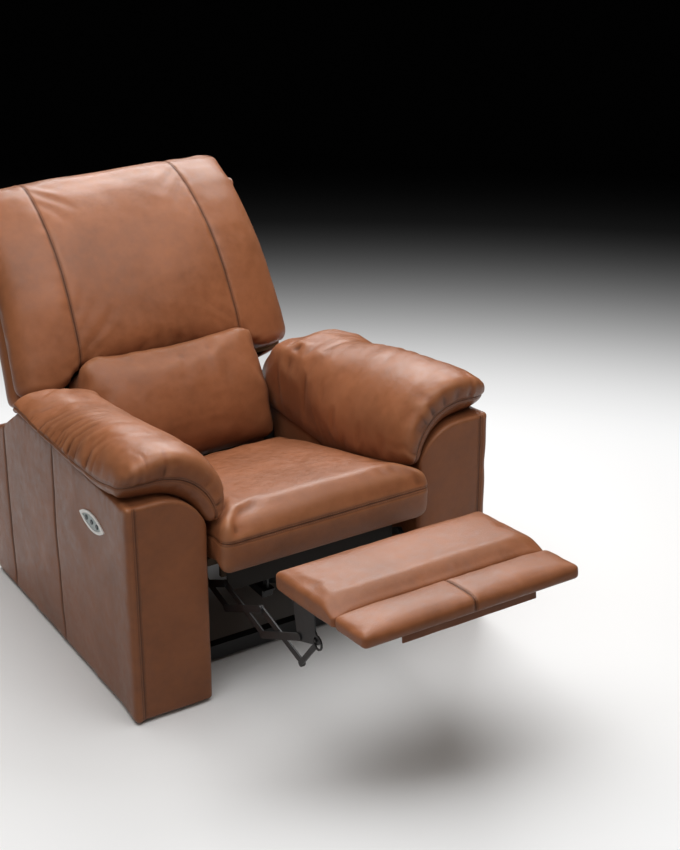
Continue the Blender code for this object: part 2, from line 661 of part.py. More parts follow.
def add_crank(target, rail_x, axis_at, tip):
    """Joins a crank plate and its pin to a tube; its lug's plate runs beside the crank."""
    low = rail_x - LUG_HALF - FIT - CRANK_THICKNESS
    shift = -axis_at
    bm = bmesh.new()
    start, end = Vector((0.0, 0.0)), tip + shift
    add_prism(bm, tapered_bar(start, end, TUBE_RADIUS + 0.001, CRANK_TIP_RADIUS), low, low + CRANK_THICKNESS)
    boolean(target, bm, "UNION")
    bm = bmesh.new()
    add_tube(bm, (low + CRANK_THICKNESS / 2, end.x, end.y), (rail_x + LUG_HALF, end.x, end.y), PIN_RADIUS, 12)
    boolean(target, bm, "UNION")


def build_tilt_links(last_upper, last_lower):
    """Short links that turn the board; each one's far eye is the linkage's opened pivot."""
    parent = pivot("axis_tilt_link", *last_lower)
    toward = turned(-ACROSS, TILT_LINK_ANGLE)
    far = last_lower + TILT_LINK_LENGTH * toward
    for label, side in SIDES:
        low, high = span(side, *OUTER_LINK_X)
        eye = PIN_RADIUS + PIN_CLEARANCE
        big_eye = PIN_RADIUS + TILT_LINK_PLAY
        bm = bmesh.new()
        outline = eyed_bar(last_lower, far, LINK_WIDTH / 2, big_eye + TILT_EYE_WALL, TILT_BAR_HALF)
        holes = [circle(last_lower.x, last_lower.y, eye), circle(far.x, far.y, big_eye)]
        add_prism(bm, outline, low, high, holes)
        finish(f"tilt_link_{label}", bm, BLACK_STEEL, parent, (0.0, last_lower.x, last_lower.y))


def eyed_bar(a, b, radius_a, radius_b, half_width, steps=10):
    """Outline of a straight bar with a round eye at each end."""
    heading = atan2(b.y - a.y, b.x - a.x)
    points = []
    for centre, radius, inwards in ((b, radius_b, heading + pi), (a, radius_a, heading)):
        mouth = asin(half_width / radius)
        for i in range(steps + 1):
            angle = inwards + mouth + (2 * pi - 2 * mouth) * i / steps
            points.append((centre.x + radius * cos(angle), centre.y + radius * sin(angle)))
    return points


def tapered_bar(a, b, radius_a, radius_b, steps=7):
    """Outline round two circles of unlike radius and the straight sides between them."""
    heading = atan2(b.y - a.y, b.x - a.x)
    lean = (radius_b - radius_a) / (b - a).length
    points = []
    for centre, radius, start, sweep in ((b, radius_b, heading - pi / 2 - lean, pi + 2 * lean),
                                         (a, radius_a, heading + pi / 2 + lean, pi - 2 * lean)):
        for i in range(steps + 1):
            angle = start + sweep * i / steps
            points.append((centre.x + radius * cos(angle), centre.y + radius * sin(angle)))
    return points


def board_point(along, below):
    """A side-view point by its distance along the board and below its underside."""
    return BOARD_UNDER_REAR + along * DIRECTION - below * UP


def build_footrest():
    """Board, crowned pad, brackets, and the flipper with its own board, pad and lower flap."""
    parent = pivot("axis_footrest_board", *LAST_PIVOT)
    origin = (0.0, LAST_PIVOT.x, LAST_PIVOT.y)

    def slab(name, start, end, below_low, below_high, half_width, where, at, finish_material):
        corners = [board_point(start, below_low), board_point(end, below_low),
                   board_point(end, below_high), board_point(start, below_high)]
        bm = bmesh.new()
        add_prism(bm, corners, -half_width, half_width)
        return finish(name, bm, finish_material, where, at)

    board = slab("footrest_board", 0.008, BOARD_LENGTH - BOARD_INSET, -BOARD_THICKNESS, 0.0,
         BOARD_HALF_WIDTH - BOARD_INSET, parent, origin, PLYWOOD)
    build_rest_pad("footrest_pad", 0.0, BOARD_LENGTH, REST_HEIGHT, 0.010, parent, origin)

    for label, side in SIDES:
        low, high = span(side, *INNER_LINK_X)
        lug = board_point(LUG_ALONG, LUG_BELOW)
        outline = [board_point(0.014, FIT), board_point(0.014, 0.020),
                   *arc_round(LAST_PIVOT, 0.012, UP, 270, 185),
                   *arc_round(lug, LUG_RADIUS, UP, 160, 10),
                   board_point(0.104, LUG_BELOW - 0.020), board_point(0.104, FIT)]
        bm = bmesh.new()
        add_prism(bm, outline, low, high)
        bracket = finish(f"footrest_bracket_{label}", bm, BLACK_STEEL, parent, origin)
        flange = bmesh.new()
        corners = [board_point(0.014, FIT) - LAST_PIVOT, board_point(0.104, FIT) - LAST_PIVOT,
                   board_point(0.104, FIT + 0.003) - LAST_PIVOT,
                   board_point(0.014, FIT + 0.003) - LAST_PIVOT]
        add_prism(flange, corners, *span(side, INNER_LINK_X[0] - 0.034, INNER_LINK_X[0] + 0.001))
        boolean(bracket, flange, "UNION")
        for at in (LAST_PIVOT, lug):
            head = bmesh.new()
            shank = add_rivet(head, side, at, OUTER_LINK_X[1])
            for tool in (head, shank):
                bmesh.ops.translate(tool, verts=tool.verts[:], vec=(0.0, -origin[1], -origin[2]))
                boolean(bracket, tool, "UNION")

    hinge = board_point(BOARD_LENGTH + FLIPPER_GAP / 2, 0.0)
    flip = pivot("axis_flipper", *hinge)
    flip_origin = (0.0, hinge.x, hinge.y)
    start = BOARD_LENGTH + FLIPPER_GAP
    flipper = slab("flipper_board", start + BOARD_INSET, start + FLIPPER_LENGTH - BOARD_INSET, -BOARD_THICKNESS, -0.001,
         BOARD_HALF_WIDTH - BOARD_INSET, flip, flip_origin, PLYWOOD)
    board_root = board_point(BOARD_LENGTH - BOARD_INSET - 0.006, -BOARD_THICKNESS / 2)
    flipper_root = board_point(start + BOARD_INSET + 0.006, -BOARD_THICKNESS / 2 - 0.0005)
    root_radius = BOARD_THICKNESS / 2 - 0.0006
    for _, side in SIDES:
        board_lug = span(side, FLIPPER_LUG_X, FLIPPER_LUG_X + FLIPPER_LUG_WIDTH)
        near = FLIPPER_LUG_X + FLIPPER_LUG_WIDTH + FIT
        flipper_lug = span(side, near, near + FLIPPER_LUG_WIDTH)
        lug, pin = bmesh.new(), bmesh.new()
        at = hinge - LAST_PIVOT
        add_prism(lug, tapered_bar(at, board_root - LAST_PIVOT, FLIPPER_EYE_RADIUS, root_radius), *board_lug)
        boolean(board, lug, "UNION")
        add_tube(pin, (side * (FLIPPER_LUG_X + FLIPPER_LUG_WIDTH / 2), at.x, at.y),
                 (side * (near + FLIPPER_LUG_WIDTH + 0.001), at.x, at.y), FLIPPER_PIN_RADIUS, 12)
        boolean(board, pin, "UNION")
        lug = bmesh.new()
        eye = circle(0.0, 0.0, FLIPPER_PIN_RADIUS + PIN_CLEARANCE, 12)
        add_prism(lug, tapered_bar(Vector((0.0, 0.0)), flipper_root - hinge, FLIPPER_EYE_RADIUS, root_radius),
                  *flipper_lug, [eye])
        boolean(flipper, lug, "UNION")
    flap_at = start + FLIPPER_LENGTH - FLAP_SETBACK
    slab("flipper_flap", flap_at - 0.003, flap_at, FIT - 0.001, FLAP_HEIGHT, FLAP_HALF_WIDTH,
         flip, flip_origin, LEATHER)
    build_rest_pad("flipper_pad", start, start + FLIPPER_LENGTH, FLIPPER_HEIGHT, 0.006, flip, flip_origin)


def arc_round(centre, radius, zero, start, end, steps=5):
    """Points round a centre in side view; angles are turned from the zero direction."""
    first = zero.normalized() * radius
    return [centre + turned(first, start + (end - start) * i / steps) for i in range(steps + 1)]


def build_rest_pad(name, start, end, height, crown, parent, origin):
    """A crowned pad that wraps a board's top and edges, level with its underside."""
    length = end - start
    half = (BOARD_HALF_WIDTH, length / 2, (height - BOARD_THICKNESS - FIT) / 2)
    round_over = 0.016

    def shape(x, along, up):
        rise = (1 - (x / half[0]) ** 6) * (1 - (along / half[1]) ** 4)
        share = (up / half[2] + 1) / 2
        above = BOARD_THICKNESS + FIT + 2 * half[2] * share + crown * rise * share - crown * share
        place = board_point(start + half[1] + along, -above)
        return x, place.x, place.y

    return soft_block(name, half, round_over, (8, 5, 1), shape, LEATHER, parent, origin)


def build_base():
    """Cross rails between the arms, side rails, side plates, hinge brackets and mid tube."""
    ends = ARM_INNER_X - FIT
    for name, y in (("cross_rail_front", CROSS_RAIL_FRONT_Y), ("cross_rail_rear", CROSS_RAIL_REAR_Y)):
        bm = bmesh.new()
        add_box(bm, (-ends, y, CROSS_RAIL_Z[0]), (ends, y + CROSS_RAIL_DEPTH, CROSS_RAIL_Z[1]))
        finish(name, bm, BLACK_STEEL, chair_origin)
    rail_y = (CROSS_RAIL_FRONT_Y + CROSS_RAIL_DEPTH + FIT, CROSS_RAIL_REAR_Y - FIT)
    slot_top = FIRST_PIVOT - (DEPTH_OPEN - PIN_RADIUS) * ACROSS
    slot_low = FIRST_PIVOT - (DEPTH_SHUT + PIN_RADIUS) * ACROSS
    for label, side in SIDES:
        bm = bmesh.new()
        low, high = span(side, *SIDE_RAIL_X)
        add_box(bm, (low, rail_y[0], SIDE_RAIL_Z[0]), (high, rail_y[1], SIDE_RAIL_Z[1]))
        finish(f"side_rail_{label}", bm, BLACK_STEEL, chair_origin)

        front, rear = rail_y[0], SIDE_PLATE_Y[1]
        nose = FIRST_PIVOT.x - 0.046
        outline = [(front, SIDE_RAIL_Z[0]), (rear, SIDE_RAIL_Z[0]), (rear, seat_frame_under(rear)),
                   (nose, seat_frame_under(nose)), (nose, 0.070), (front, 0.060)]
        shank = PIN_RADIUS + PIN_CLEARANCE
        holes = [circle(FIRST_PIVOT.x, FIRST_PIVOT.y, shank), stadium(slot_top, slot_low, shank)]
        bm = bmesh.new()
        add_prism(bm, outline, *span(side, *PLATE_X), holes)
        finish(f"side_plate_{label}", bm, BLACK_STEEL, chair_origin)

        plate = span(side, SIDE_RAIL_X[1] + FIT, SIDE_RAIL_X[1] + FIT + STEEL)
        outline = [(HINGE_Y - 0.060, SIDE_RAIL_Z[0]), (HINGE_Y + 0.060, SIDE_RAIL_Z[0]),
                   *[(HINGE_Y + HINGE_EYE_RADIUS * cos(pi * i / 8), HINGE_Z + HINGE_EYE_RADIUS * sin(pi * i / 8))
                     for i in range(9)]]
        bm = bmesh.new()
        add_prism(bm, outline, *plate)
        bracket = finish(f"hinge_bracket_{label}", bm, BLACK_STEEL, chair_origin)
        pin = bmesh.new()
        add_tube(pin, (side * (BACK_PLATE_X[0] - 0.003), HINGE_Y, HINGE_Z),
                 (side * (SIDE_RAIL_X[1] + FIT + STEEL / 2), HINGE_Y, HINGE_Z), HINGE_PIN_RADIUS)
        boolean(bracket, pin, "UNION")

    bm = bmesh.new()
    tube_z = RAIL_Z[0] - FIT - MID_TUBE_RADIUS
    reach = PLATE_X[0] - FIT
    add_tube(bm, (-reach, MID_TUBE_Y, tube_z), (reach, MID_TUBE_Y, tube_z), MID_TUBE_RADIUS)
    finish("mid_cross_tube", bm, BLACK_STEEL, chair_origin)


def build_rear_panel():
    """A low upholstered panel behind the base, with the power inlet set into it."""
    bm = bmesh.new()
    add_box(bm, (-ARM_INNER_X + FIT, REAR_PANEL_Y, REAR_PANEL_Z[0]),
            (ARM_INNER_X - FIT, REAR_PANEL_Y + REAR_PANEL_THICKNESS, REAR_PANEL_Z[1]))
    panel = finish("rear_panel", bm, BLACK_CLOTH, chair_origin)
    hole = bmesh.new()
    add_tube(hole, (INLET_X, REAR_PANEL_Y - 0.01, INLET_Z),
             (INLET_X, REAR_PANEL_Y + REAR_PANEL_THICKNESS + 0.01, INLET_Z), INLET_RADIUS + FIT)
    boolean(panel, hole)

    outer = REAR_PANEL_Y + REAR_PANEL_THICKNESS
    bm = bmesh.new()
    add_tube(bm, (INLET_X, REAR_PANEL_Y - 0.008, INLET_Z), (INLET_X, outer + 0.002, INLET_Z), INLET_RADIUS)
    inlet = finish("power_inlet", bm, BLACK_PLASTIC, chair_origin)
    flange = bmesh.new()
    add_tube(flange, (INLET_X, outer + FIT, INLET_Z), (INLET_X, outer + 0.004, INLET_Z), INLET_RADIUS + 0.006, 20)
    boolean(inlet, flange, "UNION")
    socket = bmesh.new()
    add_tube(socket, (INLET_X, outer - 0.012, INLET_Z), (INLET_X, outer + 0.010, INLET_Z), 0.0055)
    boolean(inlet, socket)


def build_powered_rail(name, rail_x, rail_y, motor_end, block_y, pin_low, pin_high, play):
    """A rail with its gearbox and motor at one end and the block that it drives."""
    bm = bmesh.new()
    add_box(bm, (rail_x - RAIL_HALF_WIDTH, rail_y[0], RAIL_Z[0]), (rail_x + RAIL_HALF_WIDTH, rail_y[1], RAIL_Z[1]))
    finish(f"{name}_rail", bm, BLACK_STEEL, chair_origin)

    near = rail_y[1] + FIT if motor_end > 0 else rail_y[0] - FIT - MOTOR_BOX[1]
    bm = bmesh.new()
    middle_z = (RAIL_Z[0] + RAIL_Z[1]) / 2
    half_box = MOTOR_BOX[2] / 2
    lift = RAIL_Z[0] - (middle_z - half_box)
    base_z = middle_z - half_box + (lift if motor_end > 0 else 0.0)
    add_box(bm, (rail_x - MOTOR_BOX[0] / 2, near, base_z),
            (rail_x + MOTOR_BOX[0] / 2, near + MOTOR_BOX[1], base_z + MOTOR_BOX[2]))
    motor = finish(f"{name}_motor", bm, BLACK_PLASTIC, chair_origin)
    can = bmesh.new()
    can_y = near + MOTOR_BOX[1] - MOTOR_RADIUS - 0.002 if motor_end > 0 else near + MOTOR_RADIUS + 0.002
    add_tube(can, (rail_x, can_y, base_z + 0.004), (rail_x, can_y, base_z - MOTOR_LENGTH), MOTOR_RADIUS, 20)
    if motor_end < 0:
        boolean(motor, can, "UNION")
    else:
        can.free()
        can = bmesh.new()
        edge = rail_x - MOTOR_BOX[0] / 2
        add_tube(can, (edge + 0.004, near + MOTOR_BOX[1] / 2, base_z + half_box),
                 (edge - MOTOR_LENGTH, near + MOTOR_BOX[1] / 2, base_z + half_box), half_box - 0.002, 20)
        boolean(motor, can, "UNION")

    parent = pivot(f"axis_{name}_block", block_y, RAIL_Z[1])
    bm = bmesh.new()
    bottom = RAIL_Z[1] + FIT
    add_box(bm, (rail_x - RAIL_HALF_WIDTH, block_y - BLOCK_LENGTH / 2, bottom),
            (rail_x + RAIL_HALF_WIDTH, block_y + BLOCK_LENGTH / 2, bottom + BLOCK_HEIGHT / 2))
    block = finish(f"{name}_block", bm, BLACK_STEEL, parent, (0.0, block_y, RAIL_Z[1]))
    eye = PIN_RADIUS + play
    slot = stadium((0.0, pin_low - RAIL_Z[1]), (0.0, pin_high - RAIL_Z[1]), eye)
    half_lug = eye + 0.006
    top = pin_high - RAIL_Z[1] + half_lug
    outline = [(-half_lug, bottom - RAIL_Z[1] + 0.001), (half_lug, bottom - RAIL_Z[1] + 0.001),
               (half_lug, top - 0.005), (half_lug - 0.005, top), (0.005 - half_lug, top), (-half_lug, top - 0.005)]
    lug = bmesh.new()
    add_prism(lug, outline, rail_x - LUG_HALF, rail_x + LUG_HALF, [slot])
    boolean(block, lug, "UNION")


def build_back():
    """Welded frame with hinge plates and crank, rear cover, upper cushion and lumbar pillow."""
    parent = pivot("axis_back", HINGE_Y, HINGE_Z, lean=BACK_LEAN)
    bm = bmesh.new()
    lower_half = LUMBAR_HALF_WIDTH - 0.004
    frame_back = BACK_PLANE + FRAME_THICKNESS
    add_box(bm, (-lower_half, BACK_PLANE, LUMBAR_BOTTOM + 0.02), (lower_half, frame_back, FRAME_TOP))
    frame = finish("back_frame", bm, BLACK_BOARD, parent)
    wings = bmesh.new()
    wing_half = BACK_HALF_WIDTH - 0.050
    add_box(wings, (-wing_half, BACK_PLANE + 0.001, BACK_BOTTOM + 0.040), (wing_half, frame_back - 0.001, FRAME_TOP - 0.020))
    boolean(frame, wings, "UNION")
    for _, side in SIDES:
        low, high = span(side, *BACK_PLATE_X)
        eye = HINGE_PIN_RADIUS + PIN_CLEARANCE
        outline = [*circle(0.0, 0.0, HINGE_EYE_RADIUS - 0.004)[9:16], (frame_back - 0.002, 0.012),
                   (frame_back - 0.002, BACK_PLATE_TOP), (BACK_PLANE + 0.002, BACK_PLATE_TOP), (-0.012, 0.028),
                   *circle(0.0, 0.0, HINGE_EYE_RADIUS - 0.004)[7:9]]
        plate = bmesh.new()
        add_prism(plate, outline, low, high, [circle(0.0, 0.0, eye)])
        boolean(frame, plate, "UNION")
        foot = bmesh.new()
        low, high = span(side, lower_half - 0.01, BACK_PLATE_X[1] - 0.001)
        add_box(foot, (low, BACK_PLANE + 0.003, 0.016), (high, frame_back - 0.003, BACK_PLATE_TOP - 0.004))
        boolean(frame, foot, "UNION")
    crank_down = crank_direction(BACK_RANGE[0], BACK_RANGE[1])
    tip = turned(crank_down, BACK_LEAN) * CRANK_LENGTH
    low_x = RAIL_X - LUG_HALF - FIT - CRANK_THICKNESS
    arm = bmesh.new()
    root = Vector((BACK_PLANE + FRAME_THICKNESS / 2, 0.030))
    add_prism(arm, stadium(root, tip, 0.010), low_x, low_x + CRANK_THICKNESS)
    boolean(frame, arm, "UNION")
    pin = bmesh.new()
    add_tube(pin, (low_x + CRANK_THICKNESS / 2, tip.x, tip.y), (RAIL_X + LUG_HALF, tip.x, tip.y), PIN_RADIUS, 12)
    boolean(frame, pin, "UNION")

    cover_front = frame_back + FIT
    half_cover = REAR_COVER_THICKNESS / 2
    cover_low, cover_high = LUMBAR_BOTTOM + 0.03, FRAME_TOP
    cover_half = (BACK_HALF_WIDTH - 0.020, half_cover, (cover_high - cover_low) / 2)

    def cover_shape(x, deep, high):
        z = (cover_low + cover_high) / 2 + high
        narrow = min(1.0, max(0.0, (z - BACK_BOTTOM + 0.030) / 0.060))
        limit = lower_half + (cover_half[0] - lower_half) * narrow
        bulge = 0.010 * (deep / half_cover + 1) / 2 * (1 - (x / cover_half[0]) ** 2)
        return x * limit / cover_half[0], cover_front + half_cover + deep + bulge, z

    soft_block("back_rear_cover", cover_half, 0.020, (6, 1, 12), cover_shape, LEATHER, parent)

    build_back_cushion(parent)
    rear = BACK_PLANE - FIT
    lumbar_half = (LUMBAR_HALF_WIDTH, (rear - LUMBAR_FRONT) / 2, (BACK_BOTTOM - LUMBAR_BOTTOM) / 2)

    def lumbar_shape(x, deep, high):
        forward = (1 - deep / lumbar_half[1]) / 2
        crown = LUMBAR_CROWN * (1 - (x / lumbar_half[0]) ** 4) * (1 - (high / lumbar_half[2]) ** 2)
        under = 0.034 * max(0.0, -high / lumbar_half[2]) ** 2
        share = (high / lumbar_half[2] + 1) / 2
        top = BACK_BOTTOM + cushion_arch(x) - LUMBAR_GAP + LUMBAR_RISE * max(0.0, 2 * forward - 1)
        z = LUMBAR_BOTTOM + (top - LUMBAR_BOTTOM) * share
        return x, (LUMBAR_FRONT + rear) / 2 + deep + forward * (under - crown), z

    soft_block("lumbar_pillow", lumbar_half, 0.040, (8, 1, 5), lumbar_shape, LEATHER, parent)


def cushion_arch(x):
    """How much higher the back cushion's lower edge is at x than at the wings."""
    return CUSHION_ARCH * max(0.0, 1 - (x / LUMBAR_HALF_WIDTH) ** 2)


def build_back_cushion(parent):
    """Plump upper cushion whose top rolls over the frame; sections across its width."""
    low, high = CUSHION_SECTION[1][1], SHOULDER_TOP
    near_low = low + 0.070

    def section(x, shrink):
        share = abs(x) / BACK_HALF_WIDTH
        fall = CUSHION_SIDE_FALL * share ** 5
        dent = BACK_SEAM_DENT * max(0.0, 1 - abs(abs(x) - BACK_SEAM_X) / 0.030)
        points = []
        for y, z in CUSHION_SECTION:
            middle = curve_value(((0.60, -0.040), (0.74, 0.0), (0.80, 0.055)), z)
            front = z < high and y < 0.0
            if front:
                y += fall + dent
            y = middle + (y - middle) * (1 - shrink / 0.062)
            if z > high + 0.01:
                z = high + (z - high) * (1 - shrink / 0.095)
            elif z < near_low:
                z = near_low - (near_low - z) * (1 - shrink / 0.090)
                z += cushion_arch(x) * (near_low - z) / (near_low - low)
            points.append((x * curve_value(CUSHION_WIDEN, z), y, z))
        return points

    half = BACK_HALF_WIDTH
    rounds = [(half - CUSHION_SIDE_ROUND * (1 - sin(angle)), CUSHION_SIDE_ROUND * (1 - cos(angle)))
              for angle in (0.0, pi / 6, pi / 3, pi / 2)]
    lines = [(x, 0.0) for x in CUSHION_LINES] + rounds
    sections = [section(-x, shrink) for x, shrink in reversed(lines[1:])]
    sections += [section(x, shrink) for x, shrink in lines]
    loft("back_cushion", sections, LEATHER, parent)


def lens(length, height, segments=12):
    """Pointed oval outline in (y, z) about the switch's centre: two arcs that meet in points."""
    radius = (length ** 2 + height ** 2) / (4 * height)
    spread = atan2(length / 2, radius - height / 2)
    points = []
    for turn in (0.0, pi):
        for i in range(segments):
            angle = pi / 2 + spread - 2 * spread * i / segments
            y, z = radius * cos(angle), radius * sin(angle) - (radius - height / 2)
            points.append((SWITCH_Y + y * cos(turn), SWITCH_Z + z * cos(turn)))
    return points


def build_switch(arm):
    """Lens-shaped switch let into the arm: rim, face plate with its housing, three buttons."""
    face_x = -ARM_OUTER_X
    well = bmesh.new()
    inner_length, inner_height = SWITCH_LENGTH - 5 * SWITCH_RIM, SWITCH_HEIGHT - 2 * SWITCH_RIM
    add_prism(well, lens(inner_length, inner_height), face_x - 0.01, face_x + SWITCH_DEPTH + FIT)
    boolean(arm, well)

    bm = bmesh.new()
    add_prism(bm, lens(SWITCH_LENGTH, SWITCH_HEIGHT), face_x - FIT - SWITCH_PROUD, face_x - FIT,
              [lens(inner_length, inner_height)])
    finish("switch_rim", bm, SILVER, chair_origin)

    bm = bmesh.new()
    plate_out = face_x - SWITCH_PROUD / 2
    fit = 2 * FIT
    add_prism(bm, lens(inner_length - 4 * fit, inner_height - 2 * fit), plate_out, face_x + SWITCH_DEPTH)
    plate = finish("switch_plate", bm, SWITCH_FACE, chair_origin)
    for index in (-1, 0, 1):
        y = SWITCH_Y + index * BUTTON_SPACING
        well = bmesh.new()
        add_tube(well, (plate_out - 0.01, y, SWITCH_Z),
                 (face_x + SWITCH_DEPTH - 0.003, y, SWITCH_Z), BUTTON_RADIUS + 0.0004)
        boolean(plate, well)
        name = ("button_close", "button_stop", "button_open")[index + 1]
        axis = pivot(f"axis_{name}", y, SWITCH_Z)
        bm = bmesh.new()
        inner = face_x + SWITCH_DEPTH - 0.003 - BUTTON_TRAVEL - FIT
        add_tube(bm, (plate_out - BUTTON_PROUD, 0.0, 0.0), (inner, 0.0, 0.0), BUTTON_RADIUS)
        finish(name, bm, BLACK_PLASTIC, axis)


arms = {label: build_arm(label, side) for label, side in SIDES}
for label, side in SIDES:
    build_arm_pad(label, side)
build_seat()
build_base()
build_rear_panel()
build_scissors()
build_footrest()
build_back()
build_switch(arms["right"])

foot_crank = FIRST_PIVOT + CRANK_LENGTH * crank_direction(0.0, LINK_SWING)
lowest_pin = FIRST_PIVOT.y - CRANK_LENGTH
highest_pin = FIRST_PIVOT.y - CRANK_LENGTH * cos(radians(LINK_SWING / 2))
build_powered_rail("footrest_drive", -RAIL_X, FOOT_RAIL_Y, 1, foot_crank.x, lowest_pin, highest_pin, 0.0020)
back_crank = Vector((HINGE_Y, HINGE_Z)) + CRANK_LENGTH * crank_direction(*BACK_RANGE)
half_range = radians((BACK_RANGE[1] - BACK_RANGE[0]) / 2)
build_powered_rail("back_drive", RAIL_X, BACK_RAIL_Y, -1, back_crank.x, HINGE_Z - CRANK_LENGTH,
                   HINGE_Z - CRANK_LENGTH * cos(half_range), 0.0020)
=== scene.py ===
# %% [markdown]
# # A power recliner in brown leather
# This lesson dresses a reclining armchair: two upholstered arms with loose-looking pads, a seat
# with a rolled front edge, a tall back sewn from three panels, a lumbar pillow, and a padded
# footrest on a steel scissor linkage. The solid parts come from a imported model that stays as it
# is. The leather forms are made here, each from a closed grid of faces, because leather is a
# sheet with a count of stitches and folds that a plain solid doesn't have.

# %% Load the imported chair
import json
from math import atan2, cos, pi, radians, sin, sqrt, tan

import bmesh
import bpy
import numpy as np
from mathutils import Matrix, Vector
from mathutils.bvhtree import BVHTree


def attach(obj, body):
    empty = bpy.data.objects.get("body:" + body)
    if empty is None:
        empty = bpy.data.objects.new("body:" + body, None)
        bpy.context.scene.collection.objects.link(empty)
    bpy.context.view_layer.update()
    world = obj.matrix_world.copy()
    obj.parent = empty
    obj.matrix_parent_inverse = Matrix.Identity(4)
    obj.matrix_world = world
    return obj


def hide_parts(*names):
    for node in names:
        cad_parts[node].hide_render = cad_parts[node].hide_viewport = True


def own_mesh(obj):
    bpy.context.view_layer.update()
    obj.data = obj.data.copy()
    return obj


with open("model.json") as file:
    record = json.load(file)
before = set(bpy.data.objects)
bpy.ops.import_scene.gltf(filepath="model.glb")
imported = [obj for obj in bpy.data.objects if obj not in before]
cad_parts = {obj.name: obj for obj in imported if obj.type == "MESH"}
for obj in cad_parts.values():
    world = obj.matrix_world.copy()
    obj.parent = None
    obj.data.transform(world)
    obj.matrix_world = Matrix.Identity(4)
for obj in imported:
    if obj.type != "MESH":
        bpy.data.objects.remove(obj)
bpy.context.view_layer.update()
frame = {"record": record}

# %% [markdown]
# ## Camera
# The chair is seen from its right front, 32 degrees round and 25 degrees above the horizon, with
# a short telephoto lens, so that the arms' edges converge only a little.

# %% Place the camera
FRONT = 0.306  # from the arms' front faces back to the middle of the chair
CAMERA_AT = (-1.875, -3.129 - FRONT, 2.365)
AZIMUTH, ELEVATION = radians(31.8), radians(24.9)


def new_object(name, data):
    """Adds an object to the scene."""
    made = bpy.data.objects.new(name, data)
    bpy.context.collection.objects.link(made)
    return made


def face_away(holder, backwards):
    """Turns a camera or lamp so that it looks against a vector."""
    holder.rotation_euler = backwards.to_track_quat("Z", "Y").to_euler()


camera = new_object("camera", bpy.data.cameras.new("camera"))
camera.location = CAMERA_AT
face_away(camera, Vector((-sin(AZIMUTH) * cos(ELEVATION), -cos(AZIMUTH) * cos(ELEVATION),
                          sin(ELEVATION))))
camera.data.lens, camera.data.sensor_width, camera.data.clip_end = 72, 36, 60
bpy.context.scene.camera = camera
print("camera at", [round(value, 3) for value in CAMERA_AT])

# %% [markdown]
# ## A grid that bends like upholstery
# Every leather form starts as a block with rounded edges, cut into a fine grid. The grid's lines
# can be made to fall exactly where a seam runs. A shape function then moves each point of the
# block to its place on the chair. The block's own coordinates are kept as an attribute, so that
# later steps still know which face and which seam a point belongs to.

# %% Numbers read from curves
def reading(table, at):
    """Straight-line reading of a short table of (position, value)."""
    return float(np.interp(at, [a for a, _ in table], [b for _, b in table]))


def smooth_step(low, high, value):
    share = np.clip((value - low) / (high - low), 0.0, 1.0)
    return share * share * (3 - 2 * share)


def share_of(value, half):
    """How far a value lies on its way from -half to half, from 0 to 1."""
    return (value / half + 1) / 2


def bell(distance, width):
    return np.exp(-(distance / width) ** 2)


def fading(distance, reach, power=1.4):
    """Falls from 1 towards 0 over a reach; a distance is never negative here."""
    return np.exp(-(distance / reach) ** power)


# %% Gridded blocks
def grid_lines(half, radius, cell, seams=()):
    """Grid lines across one side of a block; seams are places that must lie on a line."""
    flat = half - radius
    stops = sorted({-flat, flat, *[s for s in seams if -flat < s < flat]})
    lines = []
    for low, high in zip(stops, stops[1:]):
        count = max(1, round((high - low) / cell))
        lines += [low + (high - low) * i / count for i in range(count)]
    lines.append(stops[-1])
    count = max(2, round(radius * pi / 4 / cell))
    ends = [flat + radius * tan(pi / 4 * i / count) for i in range(1, count + 1)]
    return [-value for value in reversed(ends)] + lines + ends


def face_outwards(mesh):
    shell = bmesh.new()
    shell.from_mesh(mesh)
    bmesh.ops.recalc_face_normals(shell, faces=shell.faces[:])
    if shell.calc_volume(signed=True) < 0:
        bmesh.ops.reverse_faces(shell, faces=shell.faces[:])
    shell.to_mesh(mesh)
    shell.free()


def leather_block(name, half, radius, cells, shape, seams=((), (), ())):
    """A closed, gridded block moved into place by shape(x, y, z)."""
    lines = [grid_lines(h, radius, cell, keep) for h, cell, keep in zip(half, cells, seams)]
    points, places, known, faces = [], [], {}, []

    def vertex(corner):
        if corner not in known:
            raw = [lines[axis][corner[axis]] for axis in range(3)]
            inner = [max(-(h - radius), min(h - radius, p)) for h, p in zip(half, raw)]
            out = Vector(raw) - Vector(inner)
            point = Vector(inner) + (out.normalized() * radius if out.length > 0 else out)
            known[corner] = len(points)
            points.append(shape(*point))
            places.append(raw)
        return known[corner]

    for axis in range(3):
        u, v = (axis + 1) % 3, (axis + 2) % 3
        for side in (0, len(lines[axis]) - 1):
            for i in range(len(lines[u]) - 1):
                for j in range(len(lines[v]) - 1):
                    ring = []
                    for di, dj in ((0, 0), (1, 0), (1, 1), (0, 1)):
                        corner = [0, 0, 0]
                        corner[axis], corner[u], corner[v] = side, i + di, j + dj
                        ring.append(vertex(tuple(corner)))
                    faces.append(ring)
    mesh = bpy.data.meshes.new(name)
    mesh.from_pydata(points, [], faces)
    kept = mesh.attributes.new("place", "FLOAT_VECTOR", "POINT")
    kept.data.foreach_set("vector", np.array(places, np.float32).ravel())
    face_outwards(mesh)
    mesh.shade_smooth()
    return new_object(name, mesh)


# %% Reading and choosing a block's points
NEAR = 1e-4  # places in a block that are closer than this lie on one grid line


def vectors_in(items, name):
    """A property of all items of a mesh, as rows of three numbers."""
    data = np.empty(len(items) * 3, np.float32)
    items.foreach_get(name, data)
    return data.reshape(-1, 3).astype(float)


def points_of(piece):
    return vectors_in(piece.data.vertices, "co")


def normals_of(piece):
    return vectors_in(piece.data.vertex_normals, "vector")


